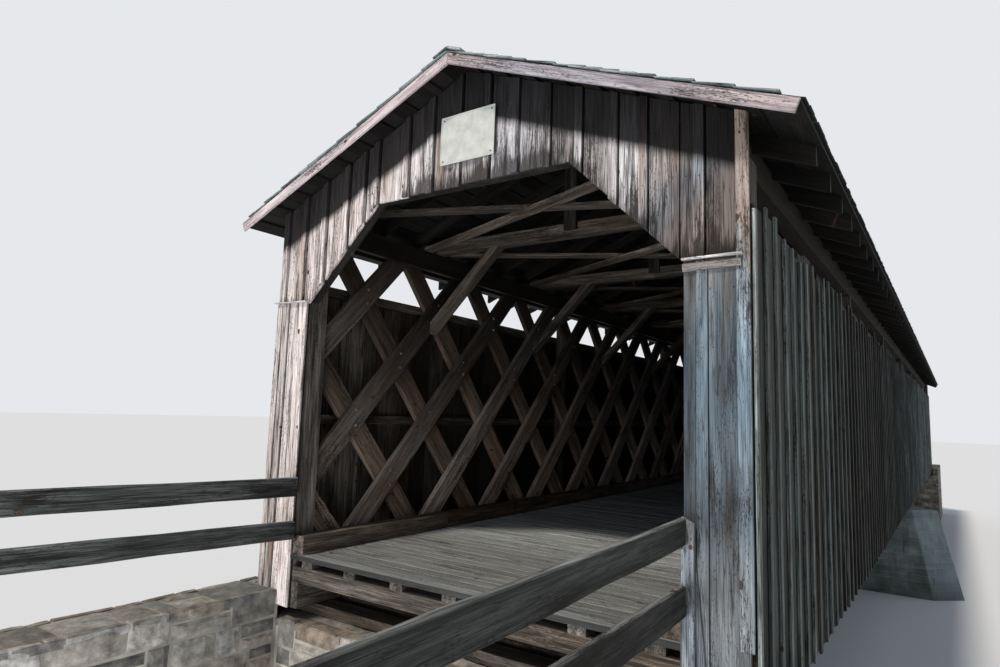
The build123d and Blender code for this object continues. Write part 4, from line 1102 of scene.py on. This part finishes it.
# Painted light: the faces of the pointed noses are coloured paler and bluer than the long sides, by the way they face
facing = add(tree, "VectorMath ABSOLUTE", add(tree, "NewGeometry", out="Normal"))
nose_painted_light = add(tree, "MapRange", add(tree, "SeparateXYZ", facing), 0.35, 0.55, 0, 1.1)
damp = add(tree, "MapRange", add(tree, "SeparateXYZ", spot, out=2), 0.55, 0.05)
coats += [(add(tree, "MapRange", marks, 0.5, 0.75, 0, 0.5), "#8f9592"),
          (add(tree, "Math MULTIPLY", marks, nose_painted_light), "#7b8c95"),
          (add(tree, "MapRange", runs, 0.58, 0.75, 0, 0.35), "#9da09a"),
          (add(tree, "MapRange", runs, 0.44, 0.28, 0, 0.5), "#2b2c27"),
          (add(tree, "Math MULTIPLY", damp, runs), "#33352b")]
close_material(*surface)
print("mineral finishes:", stone.name, mortar.name, concrete.name)

# %% [markdown]
# Each abutment is a seat for the trusses with a breast wall, and a wing wall runs back from it on
# each side. All its faces are laid alike, the tops with longer stones. The faces are listed, and
# the far end mirrors the near one.

# %% Abutments and wing walls
OUT, BREAST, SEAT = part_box("near_abutment")[1]
(_, WING_END, _), (_, _, WING_TOP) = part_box("near_wing_walls")
IN, CHEEK, SET_BACK = 2.15, 2.52, 0.026
# This core stands a millimetre further in, so that no two faces lie in one plane
INSET = SET_BACK + 0.001
DEEP = BREAST - NEAR
MIDDLE_FACES = (((OUT, BREAST, 0), -EAST, UP, 2 * OUT, SEAT), ((-IN, NEAR, 0), EAST, UP, 2 * IN, SEAT),
                ((-CHEEK, NEAR, SEAT), EAST, NORTH, 2 * CHEEK, DEEP, 0.3, 0.45))
WING_FACES = (((OUT, WING_END, 0), NORTH, UP, BREAST - WING_END, WING_TOP),
              ((IN, NEAR, 0), -NORTH, UP, NEAR - WING_END, WING_TOP),
              ((IN, WING_END, 0), EAST, UP, OUT - IN, WING_TOP),
              ((IN, WING_END, WING_TOP), EAST, NORTH, OUT - IN, NEAR - WING_END, 0.35, 0.5),
              ((CHEEK, NEAR, WING_TOP), EAST, NORTH, OUT - CHEEK, DEEP, 0.35, 0.5),
              ((CHEEK, BREAST, SEAT), -NORTH, UP, DEEP, WING_TOP - SEAT),
              ((OUT, BREAST, SEAT), -EAST, UP, OUT - CHEEK, WING_TOP - SEAT))
for end, name in ENDS:
    stones, bed = new_stock(), new_stock()
    for face in MIDDLE_FACES:
        lay_wall(stones, end, 1, *face)
    lay_core(bed, end, 1, (-OUT + SET_BACK, NEAR + SET_BACK, 0),
             (OUT - SET_BACK, BREAST - SET_BACK, SEAT - SET_BACK))
    for side, _ in SIDES:
        for face in WING_FACES:
            lay_wall(stones, end, side, *face)
        lay_core(bed, end, side, (IN + SET_BACK, WING_END + SET_BACK, 0),
                 (OUT - SET_BACK, NEAR + SET_BACK, WING_TOP - SET_BACK))
        lay_core(bed, end, side, (CHEEK + INSET, NEAR, SEAT - 0.1),
                 (OUT - INSET, BREAST - INSET, WING_TOP - INSET))
    finish_piece(f"{name}_rubble_stones", stones, stone, "rubble_stone", f"{name}_abutment", f"{name}_wing_walls")
    finish_piece(f"{name}_mortar", bed, mortar, "rubble_stone")

# %% [markdown]
# The middle pier is a concrete block with a pointed nose at each end, and it leans in as it
# rises. It was cast in lifts one board high, and each board left its own slight step, so the
# mesh is a stack of rings with small steps, and each ring's points are moved in by a little noise.

# %% Centre pier
PIER_BATTER, PIER_SIDE_BATTER, PIER_NOSE, PIER_THICK, PIER_SHOULDER = 0.18, 0.045, 1.1, 0.5, 2.5
EDGE_CUT = 0.02


def pier_ring(below, inset):
    """Plan of the pier at a depth below its seat, with its corners cut 20 mm."""
    half = PIER_THICK + PIER_SIDE_BATTER * below - inset
    shoulder = PIER_SHOULDER + PIER_BATTER * below
    tip = shoulder + PIER_NOSE * half
    corners = [Vector(c) for c in ((tip, 0), (shoulder, half), (-shoulder, half), (-tip, 0), (-shoulder, -half),
                                   (shoulder, -half))]
    ring = []
    for i, corner in enumerate(corners):
        before, after = corners[i - 1], corners[(i + 1) % 6]
        ring.append(corner + (before - corner).normalized() * EDGE_CUT)
        start = corner + (after - corner).normalized() * EDGE_CUT
        stop = after + (corner - after).normalized() * EDGE_CUT
        cells = 20 if i in (1, 4) else 4
        ring += [start.lerp(stop, j / cells) for j in range(cells)]
    return ring


rings = []
lifts = int(SEAT / LIFT)
for i in range(lifts + 1):
    low, high = i * LIFT, min((i + 1) * LIFT, SEAT)
    step = 0.003 + draw.random() * 0.006
    rings += [(low + 0.003 * (i > 0), step), (high - 0.003, step), (high, 0.002 if i < lifts else step)]
loops = []
for z, inset in rings:
    loops.append([])
    for spot in pier_ring(SEAT - z, inset):
        dent = noise.noise(Vector((spot.x * 2.2, spot.y * 2.2, z * 2.2))) * 0.004
        spot = spot * (1 - (0.002 + abs(dent)) / max(0.5, spot.length))
        loops[-1].append((*spot, z))
stock = new_stock()
tube(stock, loops)
finish_piece("cast_pier", stock, concrete, "concrete", "centre_pier")

# %% [markdown]
# A plate is screwed to the battens over the opening. Paint gone chalky and pale green covers
# it, and it stays bare. Its rim is eased and its four screws sit a little in from the corners.

# %% Plate over the opening
painted_plate = mottled("chalked_paint_pale_green", 9, 6,
                        {0.3: "#8f918b", 0.5: "#9fa09a", 0.7: "#aeaea8"}, 0.62, 0.001, grit=0.65)
PLATE_WIDE, PLATE_TALL, PLATE_THICK, RIM, SCREW_IN = 0.605, 0.46, 0.009, 0.014, 0.035
plate = place((-0.26, NEAR - 0.001, DECK + 3.69), EAST, UP)
stock, screws = new_stock(), new_stock()
saw(stock, oblong(0, 0, PLATE_WIDE, PLATE_TALL), PLATE_THICK, plate, ease=0.002, bow=0.0, step=2)
for strip in ((0, 0, PLATE_WIDE, RIM), (0, PLATE_TALL - RIM, PLATE_WIDE, PLATE_TALL),
              (0, RIM, RIM, PLATE_TALL - RIM), (PLATE_WIDE - RIM, RIM, PLATE_WIDE, PLATE_TALL - RIM)):
    saw(stock, oblong(*strip), 0.013, plate, bow=0.0, step=2)
for u in (SCREW_IN, PLATE_WIDE - SCREW_IN):
    for v in (SCREW_IN, PLATE_TALL - SCREW_IN):
        stud(screws, plate @ Vector((u, v, PLATE_THICK)), (0, -1, 0), SCREW)
finish_piece("bare_plate", stock, painted_plate, "trim_boards")
finish_piece("plate_screws", screws, rusty_iron, "trim_boards")

# %% [markdown]
# The floor is plain and pale and takes the shadow. The light is an even pale sky with one broad
# soft lamp, which comes from over the viewer's shoulder as the daylight does. Seen by the camera,
# in glass or in a glossy surface, the sky is nearly white. A broad low lamp before each end stands
# for the daylight that is thrown up into the opening.

# %% Floor and light
floor_paint, tree = new_material("matt_pale_floor")
add(tree, "OutputMaterial", add(tree, "BsdfDiffuse", "#dbdde0"))
floor_mesh = bpy.data.meshes.new("floor")
FLOOR = 220
floor_mesh.from_pydata([(u, v, 0) for u, v in oblong(-FLOOR, -FLOOR, FLOOR, FLOOR)], [], [(0, 1, 2, 3)])
floor_mesh.materials.append(floor_paint)
floor = bpy.data.objects.new("floor", floor_mesh)
scene.collection.objects.link(floor)

world = bpy.data.worlds.new("studio_sky")
scene.world = world
world.use_nodes = True
tree = world.node_tree
tree.nodes.clear()
path = add(tree, "LightPath", out=None)
seen = add(tree, "Math", path["Is Camera Ray"], path["Is Glossy Ray"])
seen = add(tree, "Math", seen, path["Is Transmission Ray"], use_clamp=True)
add(tree, "OutputWorld", add(tree, "MixShader", seen, add(tree, "Background", "#e2ebf6", 0.45),
                             add(tree, "Background", "#e6e8eb", 1.0)))


def hang(name, kind, colour, energy, direction, spot=(0, 0, 0)):
    """A lamp at a spot, shining against a direction."""
    lamp = bpy.data.lights.new(name, kind)
    lamp.energy = energy
    lamp.color = linear(colour)[:3]
    hung = bpy.data.objects.new(name, lamp)
    hung.location = spot
    hung.rotation_euler = Vector(direction).to_track_quat("Z", "Y").to_euler()
    scene.collection.objects.link(hung)
    return lamp, hung


sun, _ = hang("soft_sun", "SUN", "#fff6ea", 3.0, (-0.04, -0.28, 0.31))
sun.angle = math.radians(6)
for end, _ in ENDS:
    lamp, hung = hang("low_fill", "AREA", "#eef5ff", 560, (0, end * -0.75, -1),
                      (0, end * (NEAR - 4.5), DECK - 0.4))
    lamp.shape, lamp.size, lamp.size_y = "RECTANGLE", 5.0, 6.0
    hung.visible_camera = hung.visible_glossy = False
print("lamps:", len(bpy.data.lights))
